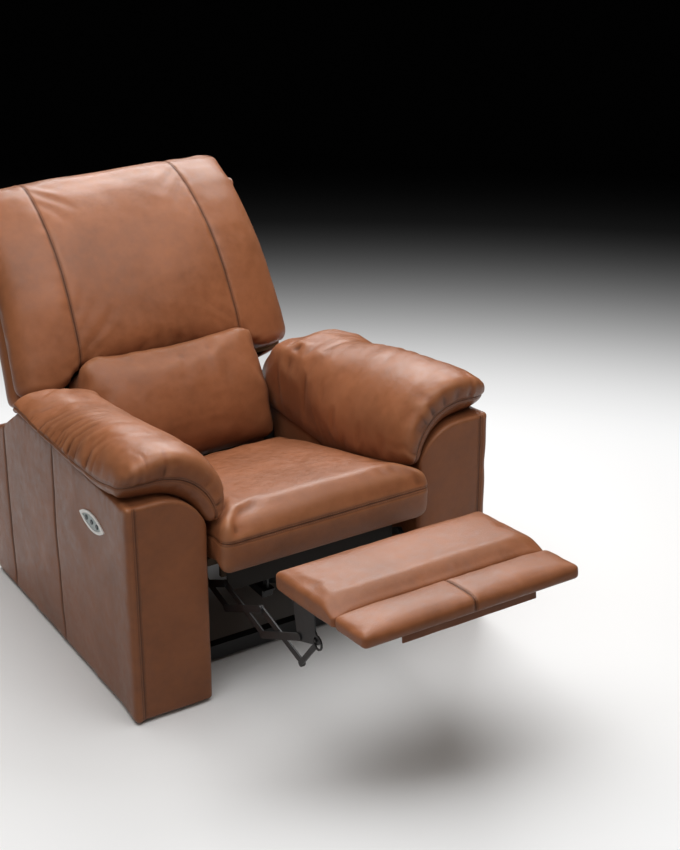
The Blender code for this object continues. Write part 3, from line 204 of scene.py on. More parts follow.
def places_of(piece):
    return vectors_in(piece.data.attributes["place"].data, "vector")


def set_points(piece, points):
    piece.data.vertices.foreach_set("co", points.astype(np.float32).ravel())
    piece.data.update()


def on_face(place, half, axis, side):
    """Which places lie on a face of the block: side is -1 or 1, or 0 for both of an axis."""
    along = place[:, axis] * side if side else np.abs(place[:, axis])
    return along > half[axis] - NEAR


def on_line(place, axis, at):
    return np.abs(place[:, axis] - at) < NEAR


# %% [markdown]
# ## Filling a form
# Foam under leather pushes the panels out between their seams. A short cloth simulation with
# inner pressure does the same: the seam's points are pinned, the rest swells, and the extra
# cloth that growth gives falls into soft folds. How far a point may move is capped, so that a
# piece stays in its own space. Gravity is off, because foam holds leather up.

# %% Swell a form
SWELL_FRAMES = 20
LEATHER_CLOTH = {"quality": 4, "mass": 0.3, "tension_stiffness": 12, "compression_stiffness": 12,
                 "shear_stiffness": 6, "bending_stiffness": 0.8, "use_pressure": True,
                 "vertex_group_mass": "seams"}


def swell(piece, pinned, pressure, cap, growth=0.0, hold=1.0):
    """Inflates a closed form between its pinned points; hold scales each point's movement."""
    before = points_of(piece)
    seams = piece.vertex_groups.new(name="seams")
    seams.add([int(i) for i in np.nonzero(pinned)[0]], 1.0, "REPLACE")
    cloth = piece.modifiers.new("cloth", "CLOTH")
    own = {"uniform_pressure_force": pressure, "shrink_min": -growth}
    for name, value in {**LEATHER_CLOTH, **own}.items():
        setattr(cloth.settings, name, value)
    cloth.settings.effector_weights.gravity = 0
    cloth.collision_settings.use_collision = False
    cloth.point_cache.frame_end = SWELL_FRAMES
    scene = bpy.context.scene
    for step in range(1, SWELL_FRAMES + 1):
        scene.frame_set(step)
    done = piece.evaluated_get(bpy.context.evaluated_depsgraph_get())
    move = vectors_in(done.data.vertices, "co") - before
    length = np.linalg.norm(move, axis=1)
    move *= np.minimum(1.0, cap * hold / np.maximum(length, 1e-9))[:, None]
    piece.modifiers.remove(cloth)
    piece.vertex_groups.remove(seams)
    scene.frame_set(1)
    set_points(piece, before + move)
    furthest = float(np.linalg.norm(move, axis=1).max())
    print(piece.name, "swelled by up to", round(furthest * 1000, 1), "mm")


# %% [markdown]
# ## Folds and creases
# A subdivided form is fine enough to carry folds. They are waves of random but fixed heights,
# pushed along the surface's normals, deep beside a seam and fading away from it. Each point
# then learns how hollow or proud it is and how near a seam runs. The leather's colour uses
# both: hollows get painted shade, proud points a lighter colour that is partly rubbed wear and
# partly a painted highlight, and seams a darker line.

# %% Helpers for folding
def apply_modifier(piece, modifier):
    """Replaces a piece's mesh by what its modifier makes of it."""
    seen = piece.evaluated_get(bpy.context.evaluated_depsgraph_get())
    made = bpy.data.meshes.new_from_object(seen)
    piece.modifiers.remove(modifier)
    old, piece.data = piece.data, made
    bpy.data.meshes.remove(old)


def subdivide(piece):
    smooth = piece.modifiers.new("smooth", "SUBSURF")
    smooth.levels = smooth.render_levels = 1
    apply_modifier(piece, smooth)
    piece.data.shade_smooth()


def wavy(at, seed, step):
    """A smooth random wave between -1 and 1 whose humps are about two steps long."""
    values = np.random.default_rng(seed).uniform(-1, 1, 4096)
    place = np.asarray(at) / step + 1024.0
    low = np.floor(place).astype(int)
    share = smooth_step(0, 1, place - low)
    return values[low % 4096] * (1 - share) + values[(low + 1) % 4096] * share


def rumple(a, b, seed, step):
    """Smooth random height over a plane, between -1 and 1."""
    values = np.random.default_rng(seed).uniform(-1, 1, (256, 256))
    pa, pb = np.asarray(a) / step + 64.0, np.asarray(b) / step + 64.0
    ia, ib = np.floor(pa).astype(int), np.floor(pb).astype(int)
    sa, sb = smooth_step(0, 1, pa - ia), smooth_step(0, 1, pb - ib)

    def row(j):
        return values[ia % 256, j % 256] * (1 - sa) + values[(ia + 1) % 256, j % 256] * sa

    return row(ib) * (1 - sb) + row(ib + 1) * sb


# %% Helpers for creases
CREASE_SCALE = 0.0016  # a point this far under its neighbours' middle is a full crease


def mark_creases(piece):
    """Stores how hollow or proud each point is, for painted shade in the hollows and a lighter
    colour on proud points, partly rubbed wear and partly a painted highlight.
    """
    mesh = piece.data
    edges = np.empty(len(mesh.edges) * 2, np.int32)
    mesh.edges.foreach_get("vertices", edges)
    edges = edges.reshape(-1, 2)
    points, count = points_of(piece), len(mesh.vertices)
    total, number = np.zeros((count, 3)), np.zeros(count)
    for a, b in ((0, 1), (1, 0)):
        np.add.at(total, edges[:, a], points[edges[:, b]])
        np.add.at(number, edges[:, a], 1)
    inward = ((total / number[:, None] - points) * normals_of(piece)).sum(axis=1)
    hollow = inward / CREASE_SCALE
    for _ in range(2):
        spread = np.zeros(count)
        for a, b in ((0, 1), (1, 0)):
            np.add.at(spread, edges[:, a], hollow[edges[:, b]])
        hollow = 0.5 * hollow + 0.5 * spread / number
    kept = mesh.attributes.new("crease", "FLOAT", "POINT")
    kept.data.foreach_set("value", np.clip(hollow, -1, 1).astype(np.float32))


def fold(piece, folds):
    """Moves each point along its normal by folds(places, points) and returns the places."""
    place, points = places_of(piece), points_of(piece)
    set_points(piece, points + normals_of(piece) * folds(place, points)[:, None])
    mark_creases(piece)
    return place


# %% Helpers for seams
SEAM_REACH = 0.030  # how far from a seam the leather still knows about it
ROW_OFFSET = 0.0042  # of each row of stitches from its seam
THREAD_LIFT = 0.0002
stitch_rows = {"base": [], "back": [], "flipper": []}


def mark_seams(piece, place, *seams):
    """Stores how near each point is to a seam; a seam is its faces, an axis and a place on it."""
    distance = np.full(len(place), 1.0)
    for faces, axis, at in seams:
        away = np.minimum(distance, np.abs(place[:, axis] - at))
        distance = np.where(faces, away, distance)
    kept = piece.data.attributes.new("nearness", "FLOAT", "POINT")
    kept.data.foreach_set("value", np.clip(SEAM_REACH - distance, 0, None).astype(np.float32))


def smoothed(line):
    """Evens out a line of points between its ends."""
    for _ in range(3):
        line[1:-1] = (line[:-2] + 2 * line[1:-1] + line[2:]) / 4
    return line


def sew_beside(piece, body, mask, order, sides=(-1, 1)):
    """Notes rows of stitches beside a seam: the points of mask, taken in the given order."""
    chosen = np.nonzero(mask)[0]
    chosen = chosen[np.argsort(order[chosen])]
    line, normals = smoothed(points_of(piece)[chosen]), normals_of(piece)[chosen]
    surface = BVHTree.FromObject(piece, bpy.context.evaluated_depsgraph_get())
    across = np.cross(np.gradient(line, axis=0), normals)
    across /= np.maximum(np.linalg.norm(across, axis=1), 1e-9)[:, None]
    for side in sides:
        row = []
        for point in line + side * ROW_OFFSET * across:
            place, normal, _, _ = surface.find_nearest(Vector(point))
            row.append(tuple(place + normal * THREAD_LIFT))
        stitch_rows[body].append(row)
    print(piece.name, "gets", len(sides), "rows of stitches,", len(line), "points each")


# %% [markdown]
# ## Leather
# Semi-aniline leather is dyed through and then sealed thinly. Its colour is cloudy over a hand's
# width, its grain is a net of shallow cells two millimetres across, and it shines softly where
# it is stretched. Folds get painted shade, and proud edges are lighter, partly as rubbed wear and
# partly as a painted highlight. Everything here follows object coordinates or a stored attribute,
# so it stays put on a moving piece.

# %% A node tree with one short call for each kind of node
MIX_SHARE, MIX_FIRST, MIX_SECOND, MIX_RESULT = 0, 6, 7, 2  # the colour sockets of a Mix node


class Tree:
    def __init__(self, tree):
        self.nodes, self.links = tree.nodes, tree.links

    def feed(self, node, inputs):
        """Gives a node's inputs their values, each a number or another node's socket."""
        for key, value in inputs.items():
            if isinstance(value, bpy.types.NodeSocket):
                self.links.new(value, node.inputs[key])
            else:
                node.inputs[key].default_value = value
        return node

    def add(self, kind, inputs=None, **settings):
        node = self.nodes.new(kind)
        for name, value in settings.items():
            setattr(node, name, value)
        return self.feed(node, inputs or {})

    def where(self):
        return self.add("ShaderNodeTexCoord").outputs["Object"]

    def attribute(self, name):
        return self.add("ShaderNodeAttribute", attribute_name=name).outputs["Fac"]

    def noise(self, vector, scale, detail=2.0, roughness=0.5, distortion=0.0):
        inputs = {"Vector": vector, "Scale": scale, "Detail": detail, "Roughness": roughness,
                  "Distortion": distortion}
        return self.add("ShaderNodeTexNoise", inputs).outputs["Fac"]

    def spread(self, value, from_low, from_high, to_low=0.0, to_high=1.0):
        """Maps one range of values to another and holds it at its ends."""
        inputs = {"Value": value, "From Min": from_low, "From Max": from_high,
                  "To Min": to_low, "To Max": to_high}
        return self.add("ShaderNodeMapRange", inputs).outputs["Result"]

    def maths(self, operation, a, b=0.0):
        return self.add("ShaderNodeMath", {0: a, 1: b}, operation=operation).outputs["Value"]

    def vectors(self, operation, a, b, result="Vector"):
        made = self.add("ShaderNodeVectorMath", {0: a, 1: b}, operation=operation)
        return made.outputs[result]

    def blend(self, share, *colours):
        """Mixes two colours, each a socket or three numbers."""
        first, second = [(*c, 1.0) if isinstance(c, tuple) else c for c in colours]
        inputs = {MIX_SHARE: share, MIX_FIRST: first, MIX_SECOND: second}
        return self.add("ShaderNodeMix", inputs, data_type="RGBA").outputs[MIX_RESULT]

    def bump(self, height, strength, distance, under=None):
        inputs = {"Height": height, "Strength": strength, "Distance": distance}
        if under is not None:
            inputs["Normal"] = under
        return self.add("ShaderNodeBump", inputs).outputs["Normal"]


def new_material(name):
    made = bpy.data.materials.new(name)
    made.use_nodes = True
    return made, Tree(made.node_tree), made.node_tree.nodes["Principled BSDF"]


def times(colour, factor, plus=0.0):
    return tuple(value * factor + plus for value in colour)


# %% The leather itself
def leather(name, colour, dark, pale, roughness):
    made, tree, shader = new_material(name)
    where = tree.where()
    cloudy = tree.spread(tree.noise(where, 5.0, 4.0, 0.6), 0.30, 0.70)
    patchy = tree.spread(tree.noise(where, 42.0, 3.0, 0.55), 0.30, 0.70)
    tone = tree.maths("ADD", tree.maths("MULTIPLY", cloudy, 0.7),
                      tree.maths("MULTIPLY", patchy, 0.3))
    base = tree.blend(tone, times(colour, 0.74), times(colour, 1.22))

    # Painted shade: hollow points blend towards the dark colour. Proud points blend towards the pale
    # colour, which is partly rubbed wear and partly a painted highlight.
    crease = tree.attribute("crease")
    hollow = tree.spread(crease, 0.03, 0.50, 0.0, 0.90)
    base = tree.blend(hollow, base, dark)
    base = tree.blend(tree.spread(crease, -0.04, -0.55, 0.0, 0.60), base, pale)
    near = tree.attribute("nearness")
    seam = tree.spread(near, SEAM_REACH - 0.0017, SEAM_REACH - 0.0005)
    off_row = tree.maths("ABSOLUTE", tree.maths("SUBTRACT", near, SEAM_REACH - ROW_OFFSET))
    row = tree.spread(off_row, 0.0008, 0.0020, 1.0, 0.0)
    line = tree.maths("MAXIMUM", tree.maths("MULTIPLY", seam, 0.65),
                      tree.maths("MULTIPLY", row, 0.28))
    base = tree.blend(line, base, dark)

    bend = tree.add("ShaderNodeTexNoise", {"Vector": where, "Scale": 120.0}).outputs["Color"]
    bent = tree.add("ShaderNodeVectorMath", {0: bend, 1: (0.004, 0.004, 0.004), 2: where},
                    operation="MULTIPLY_ADD").outputs["Vector"]
    grain = tree.add("ShaderNodeTexVoronoi", {"Vector": bent, "Scale": 430.0, "Randomness": 1.0},
                     feature="DISTANCE_TO_EDGE").outputs["Distance"]
    soft = tree.bump(tree.noise(where, 16.0, 5.0, 0.62, 0.4), 0.24, 0.004)
    fine = tree.bump(tree.spread(grain, 0.0, 0.10), 0.22, 0.0006, soft)
    sewn = tree.bump(tree.maths("SUBTRACT", 1.0, line), 0.8, 0.0016, fine)

    worn = tree.spread(patchy, 0.0, 1.0, roughness - 0.05, roughness + 0.09)
    rough = tree.maths("ADD", worn, tree.maths("MULTIPLY", hollow, 0.18))
    tree.feed(shader, {"Base Color": base, "Normal": sewn, "Roughness": rough, "IOR": 1.50,
                       "Specular IOR Level": 0.30, "Sheen Weight": 0.03, "Sheen Roughness": 0.45,
                       "Sheen Tint": (1.0, 0.80, 0.70, 1.0)})
    return made


# dark is the painted shade of the hollows and also the colour of the seam lines; pale is the proud
# points' colour, partly rubbed wear and partly a painted highlight.
BROWN = leather("brown_leather", colour=(0.268, 0.096, 0.040), dark=(0.036, 0.010, 0.003),
                pale=(0.41, 0.185, 0.090), roughness=0.36)


# %% Hand a finished piece over
def put_on(piece, body, material):
    piece.data.materials.clear()
    piece.data.materials.append(material)
    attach(piece, body)
    print(piece.name, "rides on", body, "with", len(piece.data.polygons), "faces")


def upholster(piece, body, node):
    """Gives a leather form its body and the solid that it stands for."""
    put_on(piece, body, BROWN)
    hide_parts(node)


# %% [markdown]
# ## The arms
# Each arm is a board frame wrapped in leather over thin foam. Its side is sewn from three
# panels, so it shows two upright seams, each panel slightly proud between them. The inner top
# corner is a quarter round that the pad lies on. A block is bent to that section by setting
# every point's height as a share of the height of the top at its place.

# %% Sizes of the arms
ARM_OUTER, ARM_INNER, ARM_DEPTH, ARM_HALF_HEIGHT = 0.500, 0.297, 0.904, 0.287
ARM_BASE, ARM_TOP, ARM_SHOULDER = 0.006, 0.580, 0.124
ARM_FLAT, ARM_ARC = ARM_OUTER - ARM_INNER - ARM_SHOULDER, ARM_SHOULDER * pi / 2
ARM_REAR_DROP = ((0.0, 0.0), (0.64, 0.0), (0.72, 0.055), (0.76, 0.085), (ARM_DEPTH, 0.150))
SIDE_SEAMS = (0.425, 0.760)
FRONT_SEAM = 0.085  # across the arm from its middle: the front panel is sewn on beside the corner
SWITCH_Y, SWITCH_Z = 0.202, 0.4615  # the leather lies flat round the switch
SIDE_BOW, FRONT_FLARE = 0.014, 0.006  # of the middle seam, and of the front's outer edge
SIDES = (("left", 1), ("right", -1))


def arm_top(x, y):
    """Height of an arm's top at x (always measured on the +X side) and y."""
    top = ARM_TOP - reading(ARM_REAR_DROP, y)
    reach = (ARM_INNER + ARM_SHOULDER) - x
    if reach <= 0:
        return top
    return top - ARM_SHOULDER * (1 - sqrt(max(0.0, 1 - min(1.0, reach / ARM_SHOULDER) ** 2)))


# %% Make both arms
def make_arm(label, side):
    half = ((ARM_OUTER - ARM_INNER) / 2, ARM_DEPTH / 2, ARM_HALF_HEIGHT)
    middle_x = (ARM_OUTER + ARM_INNER) / 2
    seams = [y - half[1] for y in SIDE_SEAMS]

    def shape(across, along, up):
        x, y = middle_x + across, half[1] + along
        share = share_of(up, half[2])
        bow = SIDE_BOW * sin(pi * share) * bell(y - 0.44, 0.10)
        return side * x, y + bow - FRONT, ARM_BASE + share * (arm_top(x, y) - ARM_BASE)

    def panels(place, point):
        across, y, z = place[:, 0], place[:, 1] + half[1], point[:, 2]
        height = share_of(place[:, 2], half[2])
        outer = smooth_step(half[0] - 0.020, half[0], across)
        front = smooth_step(0.020, 0.0, y)
        puff = np.zeros(len(y))
        edges = (0.0, *SIDE_SEAMS, ARM_DEPTH)
        for low, high in zip(edges, edges[1:]):
            share = np.clip((y - low) / (high - low), 0, 1)
            puff = np.maximum(puff, np.sin(pi * share) ** 0.6 * (share > 0) * (share < 1))
        groove = sum(bell(y - seam, 0.0035) for seam in SIDE_SEAMS)
        rise = np.sin(pi * np.clip(height, 0, 1)) ** 0.5
        flat = smooth_step(0.055, 0.13, np.hypot(y - SWITCH_Y, z - SWITCH_Z))
        side_push = outer * rise * (0.0052 * puff * flat - 0.0030 * groove)
        side_push += outer * flat * 0.0011 * rumple(y, z, 5 + side, 0.055)
        pull = bell(height - 0.98, 0.05) * wavy(y, 11 + side, 0.012) * 0.0006
        face = np.clip(1 - np.abs(across / half[0]) ** 4, 0, 1) * rise
        front_push = front * (0.0040 * face + 0.0008 * rumple(across, z, 8 + side, 0.045))
        lip = smooth_step(0.014, 0.0, (1 - height) * 2 * half[2]) * front * 0.0030
        flare = outer * FRONT_FLARE * smooth_step(0.11, 0.0, y)
        return side_push + outer * flat * pull + front_push + lip + flare

    arm = leather_block(f"arm_{label}_leather", half, 0.012, (0.014, 0.012, 0.014), shape,
                        seams=((FRONT_SEAM,), seams, ()))
    subdivide(arm)
    place = fold(arm, panels)
    on_side, on_front = on_face(place, half, 0, 1), on_face(place, half, 1, -1)
    for seam in seams:
        sew_beside(arm, "base", on_side & on_line(place, 1, seam), place[:, 2], (side,))
    sew_beside(arm, "base", on_front & on_line(place, 0, FRONT_SEAM), place[:, 2])
    mark_seams(arm, place, *[(on_side, 1, seam) for seam in seams], (on_front, 0, FRONT_SEAM))
    upholster(arm, "base", f"arm_{label}")


for label, side in SIDES:
    make_arm(label, side)

# %% [markdown]
# ## The arm pads
# A pad lies over the arm's top and hangs over its inner shoulder to the seat. It has a crown
# panel on a narrow band, and the crown is gathered into the band at the front, which throws
# short folds over the nose, and a few long soft folds run forwards from its rear outer edge. The
# path over the arm's section is the block's width, so that the grid's lines follow the leather.

# %% Sizes of the pads
PAD_FRONT, PAD_REAR, PAD_ROUND = -0.024, 0.790, 0.040
PAD_HALF_PATH, PAD_HALF_HEIGHT = 0.150, 0.045  # of the block; the path is stretched to the arm
PAD_THICKNESS = ((-0.024, 0.112), (0.06, 0.119), (0.20, 0.101), (0.30, 0.083), (0.40, 0.062),
                 (0.50, 0.041), (0.60, 0.032), (0.68, 0.033), (0.715, 0.032), (0.764, 0.034))
PAD_RIDGE = (  # least height where the crown turns inwards
    (0.30, 0.655), (0.42, 0.637), (0.50, 0.618), (0.55, 0.607), (0.60, 0.599), (0.65, 0.592),
    (0.70, 0.580), (0.725, 0.567), (0.75, 0.548), (0.79, 0.515), (0.83, 0.480))
PAD_INWARD_FALL = ((0.45, 0.0), (0.62, 0.006), (0.72, 0.022), (0.82, 0.070), (0.92, 0.17),
                   (1.0, 0.30))
PAD_TAPER_FROM = 0.50  # behind this the rear edge runs slantwise between the next two
PAD_OUTER_REAR, PAD_INNER_REAR = 0.672, 0.828
PAD_OVERHANG, PAD_HANG = 0.013, 0.016  # of the band beyond the arm's side, and below its top
PAD_LOWEST, PAD_OVER_SEAT = 0.370, -0.012
PAD_TUCK, PAD_TUCK_REACH = (0.070, 0.012), 0.110  # the front's lower edge lies behind its top
BAND_SHARE = ((-0.024, 0.48), (0.05, 0.40), (0.146, 0.33), (0.30, 0.30), (0.45, 0.42),
              (0.62, 0.58), (0.80, 0.58))
LONG_FOLDS = (0.20, 0.31, 0.39, 0.50, 0.58)
SEAT_TOP, SEAT_SLOPE = 0.497, 0.276


def seat_top(y):
    return SEAT_TOP - SEAT_SLOPE * y


def pad_path(distance, drop):
    """Point and outward normal on the arm's top, at a distance in from its outer edge."""
    top = ARM_TOP - drop
    if distance <= ARM_FLAT:
        return ARM_OUTER - distance, top, 0.0, 1.0
    if distance <= ARM_FLAT + ARM_ARC:
        angle = (distance - ARM_FLAT) / ARM_SHOULDER
        return (ARM_INNER + ARM_SHOULDER * (1 - sin(angle)), top - ARM_SHOULDER * (1 - cos(angle)),
                -sin(angle), cos(angle))
    return ARM_INNER, top - ARM_SHOULDER - (distance - ARM_FLAT - ARM_ARC), -1.0, 0.0


def pad_reach(y, drop):
    """Length of the pad's way over the arm, from its outer edge to just above the seat."""
    edge = max(seat_top(y) + PAD_OVER_SEAT, PAD_LOWEST)
    shoulder_end = ARM_TOP - drop - ARM_SHOULDER
    if edge <= shoulder_end:
        return ARM_FLAT + ARM_ARC + shoulder_end - edge
    fall = (ARM_TOP - drop - edge) / ARM_SHOULDER
    return ARM_FLAT + ARM_SHOULDER * atan2(sqrt(1 - (1 - fall) ** 2), 1 - fall)


# %% The form of a pad: the sitter's left one is flatter and shorter at its rear outer end
def pad_shape(side, half, middle_y):
    flatter, shorter, thicker = (0.40, 0.055, 0.0) if side > 0 else (0.0, 0.0, 0.010)
    outer_rear = PAD_OUTER_REAR - shorter

    def shape(across, along, up):
        y, share, height = middle_y + along, share_of(across, half[0]), share_of(up, half[2])
        if y > PAD_TAPER_FROM:
            end = outer_rear + (PAD_INNER_REAR - outer_rear) * smooth_step(0.05, 0.45, share)
            shrink = (end - PAD_TAPER_FROM) / (PAD_REAR - PAD_TAPER_FROM)
            y = PAD_TAPER_FROM + (y - PAD_TAPER_FROM) * shrink
        band = reading(BAND_SHARE, y)
        band += (0.46 - band) * smooth_step(-0.150, -0.095, across)
        height = 2 * height * band if height < 0.5 else band + (2 * height - 1) * (1 - band)
        drop = reading(ARM_REAR_DROP, y)
        x, z, nx, nz = pad_path(share * pad_reach(max(y, 0.0), drop), drop)
        thick = reading(PAD_THICKNESS, y)
        thick += thicker * smooth_step(0.50, 0.60, y) * smooth_step(0.45, 0.15, share)
        thick *= 1.0 - 0.60 * max(0.0, (share - 0.45) / 0.55) ** 1.6
        outer = 0.82 - flatter * smooth_step(0.34, 0.54, y)
        thick *= outer + (1 - outer) * min(1.0, sin(pi * min(share / 0.9, 0.5)) + 0.05)
        lift = 0.0012 + thick * height
        fuller = reading(PAD_RIDGE, y) - reading(PAD_INWARD_FALL, share) - (z + nz * lift)
        fuller = max(0.0, fuller) * height * smooth_step(0.22, 0.50, share)
        fuller *= smooth_step(0.20, 0.66, y)
        over = smooth_step(0.14, 0.0, share)
        hang = PAD_HANG * over * (1 - height) * smooth_step(0.02, 0.16, y)
        tuck = PAD_TUCK[0] + (PAD_TUCK[1] - PAD_TUCK[0]) * share
        y += tuck * (1 - height) * max(0.0, 1 - (y - PAD_FRONT) / PAD_TUCK_REACH)
        x += PAD_OVERHANG * over * (1 - 0.5 * height)
        return side * (x + nx * lift), y - FRONT, z + nz * lift + fuller - hang

    return shape


# %% The folds of a pad: gathers at its nose and outer seam, and long soft folds
def pad_folds(side, half, middle_y):
    def folds(place, point):
        across, along, up = place.T
        y, inward, behind = along + middle_y, across + half[0], along + half[1]
        above = np.maximum(up, 0.0)
        from_nose = np.where(behind < PAD_ROUND, above, PAD_HALF_HEIGHT + behind - PAD_ROUND)
        from_side = np.where(inward < PAD_ROUND, above, PAD_HALF_HEIGHT + inward - PAD_ROUND)
        some = 0.45 + 0.55 * smooth_step(-0.4, 0.4, wavy(across, 25 + side, 0.030))
        bent = across + 0.12 * along + 0.004 * wavy(along, 23, 0.03)
        crinkle = bell(wavy(bent, 21 + side, 0.0150), 0.34)
        gather = (0.0022 - 0.0068 * crinkle) * fading(from_nose, 0.045, 1.3) * some
        wrinkle = bell(wavy(y + 0.5 * across, 41 + side, 0.0135), 0.34)
        beside = fading(from_side, 0.060, 1.3) * smooth_step(0.05, 0.20, y)
        beside *= smooth_step(0.66, 0.45, y) * smooth_step(0.10, 0.22, y)
        gather += (0.0014 - 0.0048 * wrinkle) * beside
        long_folds = np.zeros(len(y))
        for index, start in enumerate(LONG_FOLDS):
            lean = 0.42 + 0.10 * wavy(index, 51 + side, 1.0)
            line = y - start + lean * inward * 1.6 + 0.012 * wavy(across, 61 + index, 0.05)
            valley = 0.0009 * bell(line - 0.024, 0.014) - 0.0016 * bell(line, 0.0090)
            long_folds += valley * bell(inward, 0.085)
        at_band = (across < -half[0] + 0.02) | (np.abs(along) > half[1] - 0.02)
        soft = 0.0012 * rumple(across, along, 71 + side, 0.045)
        return (smooth_step(0.0, 0.010, up) * (gather + long_folds + soft)
                - 0.0022 * bell(up, 0.0028) * at_band)

    return folds


# %% Make both pads
def make_pad(label, side):
    half = (PAD_HALF_PATH, (PAD_REAR - PAD_FRONT) / 2, PAD_HALF_HEIGHT)
    middle_y = (PAD_REAR + PAD_FRONT) / 2
    pad = leather_block(f"arm_pad_{label}_leather", half, PAD_ROUND, (0.011, 0.0115, 0.010),
                        pad_shape(side, half, middle_y), seams=((), (), (0.0,)))
    place = places_of(pad)
    seam = (on_face(place, half, 1, 0) | on_face(place, half, 0, -1)) & on_line(place, 2, 0.0)
    pinned = seam | on_face(place, half, 2, -1) | on_face(place, half, 0, 1)
    swell(pad, pinned, pressure=2.6, cap=0.012, growth=0.010,
          hold=np.where(place[:, 1] > half[1] - 0.16, 0.35, 1.0))
    subdivide(pad)
    place = fold(pad, pad_folds(side, half, middle_y))
    outside, in_front = on_face(place, half, 0, -1), on_face(place, half, 1, -1)
    mark_seams(pad, place, (outside | on_face(place, half, 1, 0), 2, 0.0))
    sew_beside(pad, "base", outside & on_line(place, 2, 0.0), place[:, 1], (side,))
    sew_beside(pad, "base", in_front & on_line(place, 2, 0.0), place[:, 0], (side,))
    upholster(pad, "base", f"arm_pad_{label}")


for label, side in SIDES:
    make_pad(label, side)

# %% [markdown]
# ## The seat cushion
# The seat is a thick foam block with a crowned top. Its top panel rolls over the front edge and
# is sewn to a border panel 44 mm below it, with a row of topstitching. The border is pinned
# along that seam before the form is filled, so the roll stands proud of the border below it.

# %% Make the seat cushion
SEAT_HALF_WIDTH, SEAT_FRONT, SEAT_REAR, SEAT_THICKNESS = 0.288, -0.052, 0.655, 0.120
SEAT_NOSE = 0.345  # height of the front's lower edge
SEAT_BORDER = 0.016  # height of the front seam in the block
NOSE_LEFT, NOSE_RIGHT = 0.034, 0.014  # how much wider the front is, to meet the pads


def make_seat():
    half = (SEAT_HALF_WIDTH, (SEAT_REAR - SEAT_FRONT) / 2, SEAT_THICKNESS / 2)
    middle_y = (SEAT_REAR + SEAT_FRONT) / 2

    def shape(x, along, up):
        y, height = middle_y + along, share_of(up, half[2])
        flat = (1 - (x / half[0]) ** 4) * (1 - (along / half[1]) ** 4)
        z = seat_top(y) - SEAT_THICKNESS * (1 - height) + 0.012 * height * flat
        nose = max(0.0, 1 - (y - SEAT_FRONT) / 0.055)
        z -= (1 - height) * nose * (seat_top(y) - SEAT_THICKNESS - SEAT_NOSE)
        wider = (NOSE_LEFT if x > 0 else NOSE_RIGHT) * nose ** 2
        draw_in = 0.005 * (1 - (2 * height - 1) ** 2) - wider
        return x * (1 - draw_in / half[0]), y - nose * 0.010 * (height - 0.5) - FRONT, z

    def folds(place, point):
        x, along, up = place.T
        over = up - SEAT_BORDER
        top = smooth_step(0.0, 0.010, over)
        on_front = smooth_step(0.030, 0.0, along + half[1])
        round_edge = np.clip(on_front + (np.abs(x) > half[0] - 0.02), 0, 1)
        groove = -0.0026 * bell(over, 0.0026) * round_edge
        ripple = wavy(x, 81, 0.018) * 0.0010 * fading(np.abs(over), 0.012, 1) * on_front
        drag = 0.0030 * bell(half[1] - along, 0.10) * wavy(x + 0.2 * along, 83, 0.05)
        soft = 0.0016 * rumple(x, along, 84, 0.12) + 0.0005 * rumple(x, along, 85, 0.040)
        return groove + ripple + top * (drag + soft)

    seat = leather_block("seat_leather", half, 0.034, (0.0125, 0.0125, 0.011), shape,
                         seams=((), (), (SEAT_BORDER,)))
    place = places_of(seat)
    seam = on_face(place, half, 1, -1) | on_face(place, half, 0, 0)
    seam &= on_line(place, 2, SEAT_BORDER)
    hold = np.where(np.abs(place[:, 0]) > half[0] - 0.036, 0.35, 1.0)
    hold = np.where(place[:, 1] > half[1] - 0.10, 0.3 * hold, hold)
    swell(seat, seam | on_face(place, half, 2, -1), pressure=3.0, cap=0.014, hold=hold)
    subdivide(seat)
    place = fold(seat, folds)
    ahead = on_face(place, half, 1, -1)
    mark_seams(seat, place, (ahead | on_face(place, half, 0, 0), 2, SEAT_BORDER))
    sew_beside(seat, "base", ahead & on_line(place, 2, SEAT_BORDER), place[:, 0])
    upholster(seat, "base", "seat_cushion")


make_seat()

# %% [markdown]
# ## The back
# The upper back is one plump cushion sewn from a centre panel and two wings. It rolls over the
# top of its frame, and its lower edge is drawn up between the wings, where it meets the lumbar
# pillow. The block's height follows two curves, one up the front and over, one up the rear, and
# a point's depth in the block says how far it lies from one to the other.

# %% Sizes of the back, measured from its hinge along the back and through it
HINGE_Y, HINGE_Z, LEAN = 0.755, 0.300, radians(30.0)
BACK_BOTTOM, BACK_PLANE = 0.250, 0.0217
BACK_HALF_WIDTH, BACK_HALF_DEPTH, BACK_HALF_HEIGHT = 0.394, 0.056, 0.370
LUMBAR_HALF_WIDTH, BACK_SEAM = 0.268, 0.229
BACK_FRONT = (
    (0.250, -0.046), (0.255, -0.070), (0.270, -0.088), (0.3150, -0.099), (0.385, -0.104),
    (0.459, -0.1055), (0.530, -0.100), (0.5895, -0.088), (0.655, -0.065), (0.722, -0.0325),
    (0.775, 0.003), (0.812, 0.038), (0.8300, 0.070))
BACK_REAR = (
    (0.256, 0.0217), (0.50, 0.0217), (0.735, 0.0217), (0.7445, 0.040), (0.7450, 0.080),
    (0.7500, 0.110), (0.770, 0.126), (0.795, 0.126), (0.815, 0.116), (0.826, 0.102))
WIDEN = ((0.25, 1.06), (0.83, 0.984))
LOWER_EDGE = (  # above BACK_BOTTOM, from the middle outwards: up at the seams, low in the wings
    (0.0, 0.012), (0.13, 0.017), (0.215, 0.023), (0.240, 0.017), (0.262, -0.012),
    (0.290, -0.027), (0.320, -0.028), (0.350, -0.025), (0.394, -0.020))


def from_hinge(x, deep, high):
    """World point from its place on the leaning back."""
    return (x, HINGE_Y + deep * cos(LEAN) + high * sin(LEAN) - FRONT,
            HINGE_Z - deep * sin(LEAN) + high * cos(LEAN))


